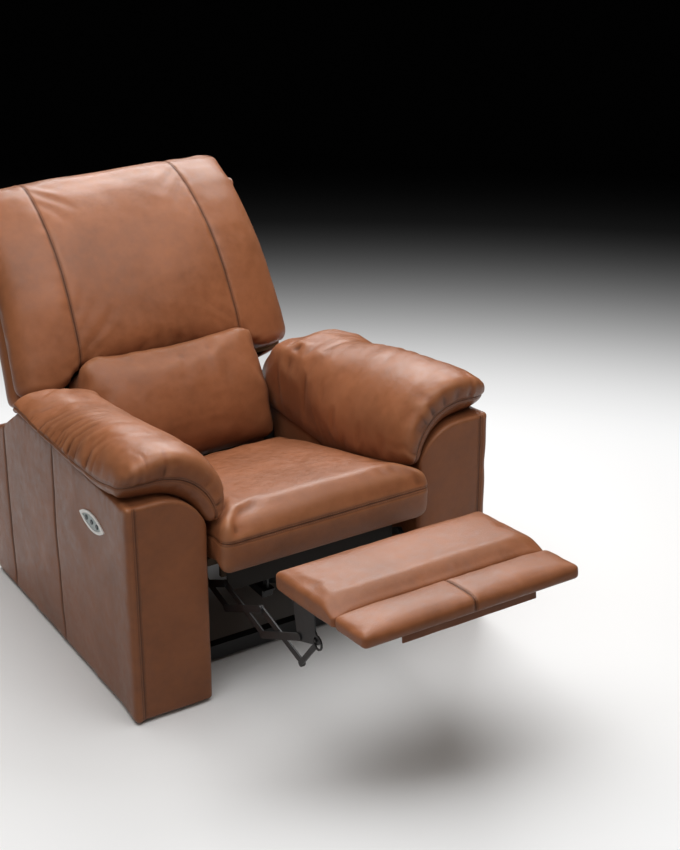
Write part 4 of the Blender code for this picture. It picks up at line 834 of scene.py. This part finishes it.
def along_curve(curve):
    """A function that reads a polyline of (height, depth) by its share of the length."""
    points = np.array([(y, z) for z, y in curve])
    steps = np.r_[0.0, np.cumsum(np.linalg.norm(np.diff(points, axis=0), axis=1))]
    return lambda share: (float(np.interp(share * steps[-1], steps, points[:, 0])),
                          float(np.interp(share * steps[-1], steps, points[:, 1])))


# %% Make the back cushion
def make_back():
    half = (BACK_HALF_WIDTH, BACK_HALF_DEPTH, BACK_HALF_HEIGHT)
    up_front, up_rear = along_curve(BACK_FRONT), along_curve(BACK_REAR)

    def shape(x, deep, high):
        share, forward = share_of(high, half[2]), (1 - deep / half[1]) / 2
        (fy, fz), (ry, rz) = up_front(share), up_rear(share)
        fall = 0.050 * abs(x / half[0]) ** 5
        ry -= 0.30 * smooth_step(0.24, 0.385, abs(x)) * max(0.0, ry - BACK_PLANE)
        y = ry + (fy + fall - ry) * forward
        z = rz + (fz - rz) * forward
        lift = reading(LOWER_EDGE, abs(x)) * max(0.0, 1 - (z - BACK_BOTTOM) / 0.11)
        squarer = 0.012 * smooth_step(0.26, 0.37, abs(x)) * smooth_step(0.690, 0.800, z)
        wide = x * reading(WIDEN, z) + (squarer if x > 0 else -squarer)
        return from_hinge(wide, y, z + lift)

    def folds(place, point):
        x, deep, high = place.T
        beside = np.abs(np.abs(x) - BACK_SEAM)
        ripple = 0.0005 * wavy(high, 91, 0.020) * fading(beside, 0.016, 1.5) * (beside > 0.004)
        low = np.maximum(high + half[2], 0.0)
        pucker = np.zeros(len(x))
        for sign in (-1, 1):
            dx, dz = x - sign * BACK_SEAM, low + 0.010
            radius, angle = np.hypot(dx, dz), np.arctan2(dz, dx)
            ray = bell(wavy(angle, 93 + sign, 0.20), 0.36)
            near = fading(radius, 0.070, 1.8) * smooth_step(0.004, 0.022, radius)
            pucker += (0.0022 - 0.0066 * ray) * near
        tuck = 0.0030 * wavy(x + 0.15 * low, 95, 0.026) * fading(low, 0.085)
        broad = 0.0022 * rumple(x, high, 96, 0.13) + 0.0007 * rumple(x + 0.3 * high, high, 97, 0.045)
        broad *= smooth_step(0.0, 0.03, beside)
        front = smooth_step(half[1] * 0.9, 0.0, deep)
        return front * (ripple + pucker + tuck + broad - 0.0024 * bell(beside, 0.0038))

    back = leather_block("back_leather", half, 0.045, (0.012, 0.012, 0.012), shape,
                         seams=((-BACK_SEAM, BACK_SEAM), (), ()))
    place = places_of(back)
    seam = on_line(place, 0, BACK_SEAM) | on_line(place, 0, -BACK_SEAM)
    hold = np.where(place[:, 2] < -half[2] + 0.05, 0.5, 1.0)
    hold *= np.where(np.abs(place[:, 0]) > half[0] - 0.05, 0.5, 1.0)
    hold *= 1 - 0.92 * smooth_step(half[2] - 0.22, half[2] - 0.06, place[:, 2])
    swell(back, seam | on_face(place, half, 1, 1), pressure=2.4, cap=0.016, growth=0.004,
          hold=hold)
    subdivide(back)
    place = fold(back, folds)
    ahead = ~on_face(place, half, 1, 1)
    mark_seams(back, place, (ahead, 0, BACK_SEAM), (ahead, 0, -BACK_SEAM))
    over_top = np.where(on_face(place, half, 2, 1), half[2] + half[1] + place[:, 1], place[:, 2])
    sewn = ~on_face(place, half, 2, -1) & (place[:, 1] < half[1] - 0.04)
    for sign in (-1, 1):
        sew_beside(back, "back", sewn & on_line(place, 0, sign * BACK_SEAM), over_top)
    upholster(back, "back", "back_cushion")
    return back


back = make_back()

# %% [markdown]
# ## The lumbar pillow
# A low bolster fills the space under the back. It is plump in the middle, tight along its top
# seam under the back's edge, and it tapers towards the seat.

# %% Make the lumbar pillow
LUMBAR_BOTTOM, LUMBAR_FRONT, LUMBAR_RISE = -0.030, -0.128, 0.034


def make_lumbar():
    half = (LUMBAR_HALF_WIDTH, (BACK_PLANE - LUMBAR_FRONT) / 2, (BACK_BOTTOM - LUMBAR_BOTTOM) / 2)

    def shape(x, deep, high):
        forward = (1 - deep / half[1]) / 2
        crown = 0.030 * (1 - (x / half[0]) ** 4) * (1 - (high / half[2]) ** 2)
        under = 0.034 * max(0.0, -high / half[2]) ** 2
        top = BACK_BOTTOM + max(0.012, reading(LOWER_EDGE, abs(x))) - 0.003
        top += LUMBAR_RISE * max(0.0, 2 * forward - 1)
        z = LUMBAR_BOTTOM + (top - LUMBAR_BOTTOM) * share_of(high, half[2])
        return from_hinge(x, (LUMBAR_FRONT + BACK_PLANE) / 2 + deep + forward * (under - crown), z)

    def folds(place, point):
        x, deep, high = place.T
        below, ends = np.maximum(half[2] - high, 0.0), np.maximum(half[0] - np.abs(x), 0.0)
        drawn = 0.0014 * wavy(x + 0.25 * below * np.sign(x), 101, 0.034) * fading(below, 0.065)
        drawn += 0.0020 * wavy(high + 0.3 * ends, 102, 0.030) * fading(ends, 0.055)
        soft = 0.0022 * rumple(x, high, 103, 0.09) + 0.0010 * rumple(x, high, 104, 0.035)
        return smooth_step(half[1] * 0.8, -half[1] * 0.5, deep) * (drawn + soft)

    pillow = leather_block("lumbar_leather", half, 0.028, (0.0115, 0.0115, 0.0115), shape)
    place = places_of(pillow)
    hold = np.where(place[:, 2] < -half[2] + 0.07, 0.3, 1.0)
    hold *= np.where(place[:, 2] > half[2] - 0.03, 0.4, 1.0)
    swell(pillow, on_face(place, half, 1, 1), pressure=3.0, cap=0.012, hold=hold)
    subdivide(pillow)
    fold(pillow, folds)
    upholster(pillow, "back", "lumbar_pillow")


make_lumbar()

# %% [markdown]
# ## The back's rear cover
# Behind, a plain leather panel closes the back. It is stretched over a flat frame, so it is only
# slightly crowned, and two upright seams divide it like the front.

# %% Make the rear cover
COVER_TOP, COVER_PLANE, COVER_THICKNESS, COVER_SEAM = 0.742, 0.0463, 0.046, 0.22


def make_rear_cover():
    half = (BACK_HALF_WIDTH + 0.002, COVER_THICKNESS / 2, COVER_TOP / 2)
    narrow_half = LUMBAR_HALF_WIDTH - 0.004
    gap = COVER_PLANE - BACK_PLANE - 0.001  # closed by a lip round the sides of the frame

    def shape(x, deep, high):
        z = COVER_TOP / 2 + high
        wide = smooth_step(0.180, 0.225, z)
        taper = 1.06 - 0.24 * max(0.0, z - BACK_BOTTOM)
        limit = narrow_half + (half[0] * taper - narrow_half) * wide
        limit -= 0.014 * smooth_step(0.690, COVER_TOP, z)  # rounds the shoulders
        bulge = 0.010 * share_of(deep, half[1]) * (1 - (x / half[0]) ** 2)
        x *= limit / half[0]
        lip = gap * smooth_step(0.362, 0.366, abs(x)) * (1 - deep / half[1]) / 2 * wide
        return from_hinge(x, COVER_PLANE + half[1] + deep + bulge - lip, z)

    def panels(place, point):
        x, deep, high = place.T
        groove = -0.0026 * bell(np.abs(x) - COVER_SEAM, 0.0035)
        hem = -0.0018 * bell(high + half[2] - 0.045, 0.004)
        soft = 0.0016 * rumple(x, high, 111, 0.10) + 0.0007 * rumple(x, high, 112, 0.04)
        return smooth_step(0.0, half[1], deep) * (groove + hem + soft)

    cover = leather_block("rear_cover_leather", half, 0.020, (0.014, 0.012, 0.014), shape,
                          seams=((-COVER_SEAM, COVER_SEAM), (), ()))
    subdivide(cover)
    fold(cover, panels)
    upholster(cover, "back", "back_rear_cover")


make_rear_cover()

# %% [markdown]
# ## The footrest
# The footrest has a main pad and a narrower folding part in front, sewn from two halves. Both
# wrap their boards: the edges are rolled, and each pad is plumpest along the groove between them.

# %% Sizes of the footrest, measured along the board and up from its underside
REST_HALF_WIDTH, BOARD_LENGTH, BOARD_THICKNESS = 0.282, 0.236, 0.009
REST_START, REST_HEIGHT, FLIPPER_LENGTH, FLIPPER_HEIGHT = -0.012, 0.060, 0.120, 0.045
FLIPPER_START = BOARD_LENGTH + 0.004
RISE = radians(5.8)
ALONG = np.array((-cos(RISE), sin(RISE)))
UPWARD = np.array((sin(RISE), cos(RISE)))
UNDER_REAR = np.array((-0.290, 0.506)) - REST_HEIGHT * UPWARD


def on_board(x, along, above):
    y, z = UNDER_REAR + along * ALONG + above * UPWARD
    return (x, y - FRONT, z)


# %% Make the two pads
def make_rest_pad(body, node, start, end, height, crown, seam_x, seed, facing, roll):
    """One pad; facing is 1 or -1, towards the groove, where the edge is rolled down by roll."""
    half = (REST_HALF_WIDTH, (end - start) / 2, (height - BOARD_THICKNESS) / 2 + 0.002)

    def shape(x, along, up):
        toward = along * facing
        rise = (1 - (x / half[0]) ** 6) * (1 - (along / half[1]) ** 4 if toward < 0 else 1.0)
        rolled = roll * smooth_step(half[1] - 0.048, half[1] - 0.004, toward)
        above = height - BOARD_THICKNESS + 0.003 + crown * (rise - 0.8) - rolled
        closer = 0.0014 * facing * smooth_step(half[1] - 0.02, half[1], toward)
        return on_board(x, start + half[1] + along + closer,
                        BOARD_THICKNESS - 0.003 + above * share_of(up, half[2]))

    def folds(place, point):
        x, along, up = place.T
        ends = np.maximum(half[0] - np.abs(x), 0.0)
        edge = np.maximum(half[1] - np.abs(along), 0.0)
        drawn = 0.0006 * wavy(x, seed, 0.020) * fading(edge, 0.020)
        drawn += 0.0008 * wavy(along, seed + 1, 0.020) * fading(ends, 0.030)
        groove = sum(-0.0030 * bell(x - seam, 0.0032) for seam in seam_x)
        soft = 0.0008 * rumple(x, along, seed + 2, 0.10) + 0.0003 * rumple(x, along, seed + 3, 0.035)
        return smooth_step(-half[2], 0.0, up) * (drawn + groove + soft)

    pad = leather_block(f"{body}_leather", half, 0.013, (0.0105, 0.0105, 0.009), shape,
                        seams=(seam_x, (), ()))
    place = places_of(pad)
    pinned = on_face(place, half, 2, -1)
    for seam in seam_x:
        pinned |= on_line(place, 0, seam)
    hold = np.where(np.abs(place[:, 1]) > half[1] - 0.02, 0.30, 1.0)
    hold *= np.where(np.abs(place[:, 0]) > half[0] - 0.03, 0.4, 1.0)
    swell(pad, pinned, pressure=1.8, cap=0.005, hold=hold)
    subdivide(pad)
    place = fold(pad, folds)
    for seam in seam_x:
        mark_seams(pad, place, (~on_face(place, half, 2, -1), 0, seam))
        sewn = on_line(place, 0, seam) & on_face(place, half, 2, 1)
        sew_beside(pad, body, sewn, place[:, 1])
    upholster(pad, body, node)


make_rest_pad("footrest", "footrest_pad", REST_START, BOARD_LENGTH, REST_HEIGHT,
              crown=0.012, seam_x=(), seed=121, facing=1, roll=0.017)
make_rest_pad("flipper", "flipper_pad", FLIPPER_START, FLIPPER_START + FLIPPER_LENGTH,
              FLIPPER_HEIGHT, crown=0.006, seam_x=(0.0,), seed=131, facing=-1, roll=0.001)

# %% [markdown]
# ## The flap
# A plain strip of leather hangs under the folding part's front edge and hides the board's edge.
# When the footrest closes, the folding part lies flat under the main pad, so the strip is squashed.

# %% Make the flap
FLAP_HALF_WIDTH, FLAP_SETBACK, FLAP_DROP = 0.175, 0.023, 0.017


def make_flap():
    half = (FLAP_HALF_WIDTH, 0.0022, 0.011)
    middle = FLIPPER_START + FLIPPER_LENGTH - FLAP_SETBACK

    def shape(x, along, up):
        sway = 0.0008 * wavy(x, 141, 0.04) * (1 - up / half[2]) / 2
        return on_board(x, middle + along + sway, up + half[2] - FLAP_DROP)

    flap = leather_block("flap_leather", half, 0.0015, (0.012, 0.002, 0.004), shape)
    subdivide(flap)
    mark_creases(flap)
    upholster(flap, "flipper", "flipper_flap")
    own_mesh(flap)


make_flap()

# %% [markdown]
# ## Stitches
# Thread runs in rows beside the seams. A row is a line of edges on the leather's surface, and one
# Geometry Nodes tree turns every row into thread: it resamples the line at the stitch's pitch and
# sets a small ellipsoid on each point, lying along the line. The result becomes a plain mesh, one
# for each body, so that it moves with its leather.

# %% The stitching tree
STITCH_INPUTS = {"Pitch": "Float", "Stitch Length": "Float", "Thread Width": "Float",
                 "Wobble": "Float", "Seed": "Int", "Thread": "Material"}


def stitch_tree():
    group = bpy.data.node_groups.new("stitch rows", "GeometryNodeTree")

    def socket(name, way, kind):
        made = group.interface.new_socket(name, in_out=way, socket_type=f"NodeSocket{kind}")
        return made.identifier

    socket("Geometry", "INPUT", "Geometry")
    sockets = {name: socket(name, "INPUT", kind) for name, kind in STITCH_INPUTS.items()}
    socket("Geometry", "OUTPUT", "Geometry")

    tree = Tree(group)
    given = tree.add("NodeGroupInput").outputs
    curve = tree.add("GeometryNodeMeshToCurve", {"Mesh": given["Geometry"]}).outputs["Curve"]
    even = tree.add("GeometryNodeResampleCurve", {"Curve": curve, "Length": given["Pitch"]},
                    mode="LENGTH").outputs["Curve"]
    tangent = tree.add("GeometryNodeInputTangent").outputs["Tangent"]
    turn = tree.add("FunctionNodeAlignRotationToVector", {"Vector": tangent}, axis="X")
    ends = [tree.add("ShaderNodeVectorMath", {0: (0.0, sign, sign), "Scale": given["Wobble"]},
                     operation="SCALE").outputs["Vector"] for sign in (-1.0, 1.0)]
    spin = tree.add("FunctionNodeRandomValue", {0: ends[0], 1: ends[1], "Seed": given["Seed"]},
                    data_type="FLOAT_VECTOR")
    turned = tree.add("FunctionNodeRotateRotation",
                      {"Rotation": turn.outputs["Rotation"], "Rotate By": spin.outputs[0]},
                      rotation_space="LOCAL").outputs["Rotation"]
    ball = tree.add("GeometryNodeMeshUVSphere", {"Segments": 6, "Rings": 5, "Radius": 0.5})
    width = given["Thread Width"]
    size = tree.add("ShaderNodeCombineXYZ", {"X": given["Stitch Length"], "Y": width, "Z": width})
    stitch = tree.add("GeometryNodeTransform", {"Geometry": ball.outputs["Mesh"],
                                                "Scale": size.outputs["Vector"]})
    made = tree.add("GeometryNodeInstanceOnPoints",
                    {"Points": even, "Instance": stitch.outputs["Geometry"], "Rotation": turned})
    made = tree.add("GeometryNodeSetShadeSmooth", {"Geometry": made.outputs["Instances"]})
    made = tree.add("GeometryNodeRealizeInstances", {"Geometry": made.outputs["Geometry"]})
    made = tree.add("GeometryNodeSetMaterial", {"Geometry": made.outputs["Geometry"],
                                                "Material": given["Thread"]})
    tree.add("NodeGroupOutput", {"Geometry": made.outputs["Geometry"]})
    return group, sockets


STITCH_ROWS, STITCH_SOCKETS = stitch_tree()


def sew(name, body, rows, settings, material):
    """Turns rows of points into one mesh of stitches on a body."""
    points = [point for row in rows for point in row]
    edges, start = [], 0
    for row in rows:
        edges += [(start + i, start + i + 1) for i in range(len(row) - 1)]
        start += len(row)
    mesh = bpy.data.meshes.new(name)
    mesh.from_pydata(points, edges, [])
    piece = new_object(name, mesh)
    thread = piece.modifiers.new("stitches", "NODES")
    thread.node_group = STITCH_ROWS
    for key, value in {**settings, "Thread": material}.items():
        thread[STITCH_SOCKETS[key]] = value
    apply_modifier(piece, thread)
    put_on(piece, body, material)


# %% Sew every row
STITCH = {"Pitch": 0.0062, "Stitch Length": 0.0050, "Thread Width": 0.0011, "Wobble": 0.06,
          "Seed": 7}


def twisted_thread(name, colour):
    made, tree, shader = new_material(name)
    ply = tree.spread(tree.noise(tree.where(), 1400.0), 0.35, 0.65)
    base = tree.blend(ply, times(colour, 0.6), times(colour, 1.25))
    tree.feed(shader, {"Base Color": base, "Normal": tree.bump(ply, 0.6, 0.0003),
                       "Roughness": 0.62})
    return made


THREAD = twisted_thread("sewing_thread", (0.26, 0.125, 0.068))
for body, rows in stitch_rows.items():
    sew(f"stitches_{body}", body, rows, STITCH, THREAD)

# %% [markdown]
# ## Steel, boards, cloth and plastic
# The mechanism is stamped steel with black paint that is dusty. The
# boards are bare plywood, the fascia is woven dust cloth, and the switch is moulded plastic in a
# satin metal rim. Each gets its own nodes, and the solids keep their shapes.

# %% Materials for the carried-over solids
def painted_steel(name, colour):
    made, tree, shader = new_material(name)
    where = tree.where()
    dust = tree.spread(tree.noise(where, 14.0, 5.0, 0.65), 0.45, 0.75)
    speck = tree.spread(tree.noise(where, 900.0), 0.35, 0.65)
    tree.feed(shader, {"Base Color": tree.blend(dust, colour, times(colour, 2.2, plus=0.006)),
                       "Roughness": tree.spread(dust, 0.0, 1.0, 0.42, 0.62),
                       "Normal": tree.bump(speck, 0.10, 0.0002)})
    return made


def bare_wood(name, colour):
    made, tree, shader = new_material(name)
    stretch = tree.add("ShaderNodeMapping", {"Vector": tree.where(), "Scale": (2.0, 26.0, 26.0)})
    rings = tree.spread(tree.noise(stretch.outputs["Vector"], 5.0, 5.0, 0.6, 0.8), 0.3, 0.7)
    tree.feed(shader, {"Base Color": tree.blend(rings, times(colour, 0.66), colour),
                       "Normal": tree.bump(rings, 0.15, 0.0004), "Roughness": 0.68})
    return made


def woven(name, colour, threads):
    made, tree, shader = new_material(name)
    parts = tree.add("ShaderNodeSeparateXYZ", {0: tree.where()}).outputs
    waves = [tree.maths("SINE", tree.maths("MULTIPLY", parts[axis], threads)) for axis in "XZ"]
    weave = tree.spread(tree.maths("MULTIPLY", *waves), -1.0, 1.0)
    tree.feed(shader, {"Base Color": tree.blend(weave, times(colour, 0.6), times(colour, 1.3)),
                       "Normal": tree.bump(weave, 0.5, 0.0003), "Roughness": 0.92,
                       "Sheen Weight": 0.2})
    return made


def moulded(name, colour, roughness, metallic=0.0):
    made, tree, shader = new_material(name)
    where = tree.where()
    tone = tree.spread(tree.noise(where, 60.0, 3.0), 0.3, 0.7)
    rough = tree.spread(tone, 0.0, 1.0, roughness - 0.04, roughness + 0.06)
    tree.feed(shader, {"Base Color": tree.blend(tone, times(colour, 0.92), times(colour, 1.06)),
                       "Normal": tree.bump(tree.noise(where, 1200.0), 0.12, 0.0001),
                       "Roughness": rough, "Metallic": metallic})
    return made


FINISHES = {
    "brown_leather": BROWN,
    "black_steel": painted_steel("black_steel", (0.0075, 0.0075, 0.008)),
    "black_board": painted_steel("black_board", (0.010, 0.009, 0.008)),
    "plywood": bare_wood("plywood", (0.115, 0.072, 0.040)),
    "black_cloth": woven("black_cloth", (0.016, 0.014, 0.013), threads=3000.0),
    "silver_trim": moulded("silver_trim", (0.74, 0.73, 0.71), 0.44, metallic=0.55),
    "switch_face": moulded("switch_face", (0.42, 0.50, 0.52), 0.34),
    "black_plastic": moulded("black_plastic", (0.060, 0.072, 0.078), 0.44)}

# %% Give every carried-over solid its finish
dressed = 0
for part in frame["record"]["subparts"]:
    solid = bpy.data.objects.get(part["node"])
    if solid is None:
        continue
    for slot in solid.material_slots:
        slot.material = FINISHES[part["material_slot"]]
    dressed += 1
print("solids with a new finish:", dressed)

# %% [markdown]
# ## The zips
# The back's leather closes with a zip along the lower edge of each wing. A zip is a woven tape
# with a row of teeth, and here it hangs just below the roll. The tape is a thin closed band along
# the lowest line of the wing, and the stitching tree sets the teeth, as short and broad beads.

# %% Make both zips
ZIP_FROM, ZIP_TO, ZIP_TOP, ZIP_HEIGHT, ZIP_THICKNESS = 0.268, 0.398, 0.004, 0.013, 0.0014
ZIP_STEPS, ZIP_FORWARD, SLICE = 22, 0.006, 0.007
TOOTH = {"Pitch": 0.0036, "Stitch Length": 0.0022, "Thread Width": 0.0044, "Wobble": 0.02,
         "Seed": 9}


def lowest_line(piece, xs):
    """The lowest point of a piece in a thin slice at each x."""
    points, line = points_of(piece), []
    for x in xs:
        near = points[np.abs(points[:, 0] - x) < SLICE]
        line.append(near[np.argmin(near[:, 2])])
    return smoothed(np.array(line))


def make_zip(label, side, material):
    """Makes a tape and returns the line on which its teeth are sewn."""
    line = lowest_line(back, side * np.linspace(ZIP_FROM, ZIP_TO, ZIP_STEPS))
    line[:, 1] -= ZIP_FORWARD
    ring = ((0, ZIP_TOP), (ZIP_THICKNESS, ZIP_TOP), (ZIP_THICKNESS, -ZIP_HEIGHT), (0, -ZIP_HEIGHT))
    points = [tuple(at + np.array((0.0, deep, up))) for at in line for deep, up in ring]
    faces = [[4 * i + k, 4 * i + (k + 1) % 4, 4 * i + 4 + (k + 1) % 4, 4 * i + 4 + k]
             for i in range(len(line) - 1) for k in range(4)]
    faces += [[3, 2, 1, 0], [len(points) - 4 + k for k in range(4)]]
    mesh = bpy.data.meshes.new(f"zip_tape_{label}")
    mesh.from_pydata(points, [], faces)
    face_outwards(mesh)
    put_on(new_object(f"zip_tape_{label}", mesh), "back", material)
    return [tuple(at + np.array((0.0, -0.0004, -0.45 * ZIP_HEIGHT))) for at in line]


TAPE = woven("zip_tape", (0.26, 0.22, 0.15), threads=1800.0)
TEETH = moulded("zip_teeth", (0.40, 0.34, 0.22), 0.38, metallic=0.8)
teeth_rows = [make_zip(label, side, TAPE) for label, side in SIDES]
sew("zip_teeth", "back", teeth_rows, TOOTH, TEETH)

# %% [markdown]
# ## Floor, light and backdrop
# A pale floor lies under soft studio lamps: a broad one above, a weak one from the picture's
# left, and one behind that draws the leather's shine. Round the chair the floor carries a painted
# pool of light, an oval that glows in the floor's own colour as the camera sees it and falls off
# to black behind, so that it takes no light from the chair.

# %% Lay the floor
FLOOR_HALF = 14.0
FLOOR_SEEN, FLOOR_LIT = (0.82, 0.82, 0.82), (0.30, 0.26, 0.22)  # as seen, and as it lights things
FADE = (  # the floor's painted light by its distance from the chair
    (0.0, 0.92), (1.00, 0.97), (1.40, 0.96), (1.78, 0.66), (2.16, 0.33), (2.55, 0.125),
    (2.95, 0.030), (3.35, 0.003), (4.20, 0.0))
GLOW_FROM, GLOW_TO = 0.75, 1.45  # the floor's painted glow takes over between these distances
ACROSS = 0.60  # the painted oval of light is wider across the picture than along it


def any_seen(tree):
    """1 for rays that see the studio straight, in a shine or through glass."""
    path = tree.add("ShaderNodeLightPath").outputs
    either = tree.maths("MAXIMUM", path["Is Camera Ray"], path["Is Glossy Ray"])
    return tree.maths("MAXIMUM", either, path["Is Transmission Ray"])


def pale_floor():
    made, tree, shader = new_material("pale_floor")
    seen, reach = any_seen(tree), FADE[-1][0]
    tree.feed(shader, {"Base Color": tree.blend(seen, FLOOR_LIT, FLOOR_SEEN), "Roughness": 0.75})
    turned = tree.add("ShaderNodeMapping", {"Vector": tree.where(), "Rotation": (0, 0, AZIMUTH)})
    oval = tree.vectors("MULTIPLY", turned.outputs["Vector"], (ACROSS, 1.0, 0.0))
    away = tree.vectors("LENGTH", oval, (0.0, 0.0, 0.0), result="Value")
    fade = tree.add("ShaderNodeValToRGB", {"Fac": tree.spread(away, 0.0, reach)})
    ramp = fade.color_ramp
    ramp.interpolation = "B_SPLINE"
    while len(ramp.elements) < len(FADE):
        ramp.elements.new(0.5)
    for stop, (distance, level) in zip(ramp.elements, FADE):
        stop.position = distance / reach
        stop.color = (level, level, level, 1.0)
    # Painted pool of light: beyond GLOW_FROM the floor glows in the ramp's grey, near white round
    # the chair and falling to black further away.
    painted_glow = tree.add("ShaderNodeEmission", {"Color": fade.outputs["Color"]})
    share = tree.maths("MULTIPLY", tree.spread(away, GLOW_FROM, GLOW_TO), seen)
    both = tree.add("ShaderNodeMixShader", {"Fac": share, 1: shader.outputs["BSDF"],
                                            2: painted_glow.outputs["Emission"]})
    tree.feed(tree.nodes["Material Output"], {"Surface": both.outputs["Shader"]})
    return made


floor_mesh = bpy.data.meshes.new("floor")
corners = [(x * FLOOR_HALF, y * FLOOR_HALF, 0) for x, y in ((-1, -1), (1, -1), (1, 1), (-1, 1))]
floor_mesh.from_pydata(corners, [], [(0, 1, 2, 3)])
floor_mesh.materials.append(pale_floor())
new_object("floor", floor_mesh)

# %% Set up the lamps and the air
AIR = (0.12, 0.105, 0.09)
LAMPS = {  # place, aim, size, power in watts
    "key_lamp": ((-0.2, -0.5, 3.2), (0.0, 0.0, 0.5), (3.4, 2.8), 105.0),
    "side_lamp": ((-3.0, -2.4, 1.9), (0.0, 0.1, 0.5), (1.8, 1.8), 13.0),
    "rear_lamp": ((1.5, 2.5, 2.7), (0.0, 0.1, 0.5), (2.4, 1.6), 110.0)}

world = bpy.data.worlds.new("studio")
bpy.context.scene.world = world
world.use_nodes = True
sky = Tree(world.node_tree)
sky.feed(sky.nodes["Background"], {"Color": sky.blend(any_seen(sky), AIR, (0.0, 0.0, 0.0))})

for name, (place, aim, size, power) in LAMPS.items():
    lamp = bpy.data.lights.new(name, "AREA")
    lamp.shape, lamp.energy = "RECTANGLE", power
    lamp.size, lamp.size_y = size
    holder = new_object(name, lamp)
    holder.location = place
    face_away(holder, Vector(place) - Vector(aim))
    print(name, power, "W")

bpy.context.scene.view_settings.view_transform = "Standard"
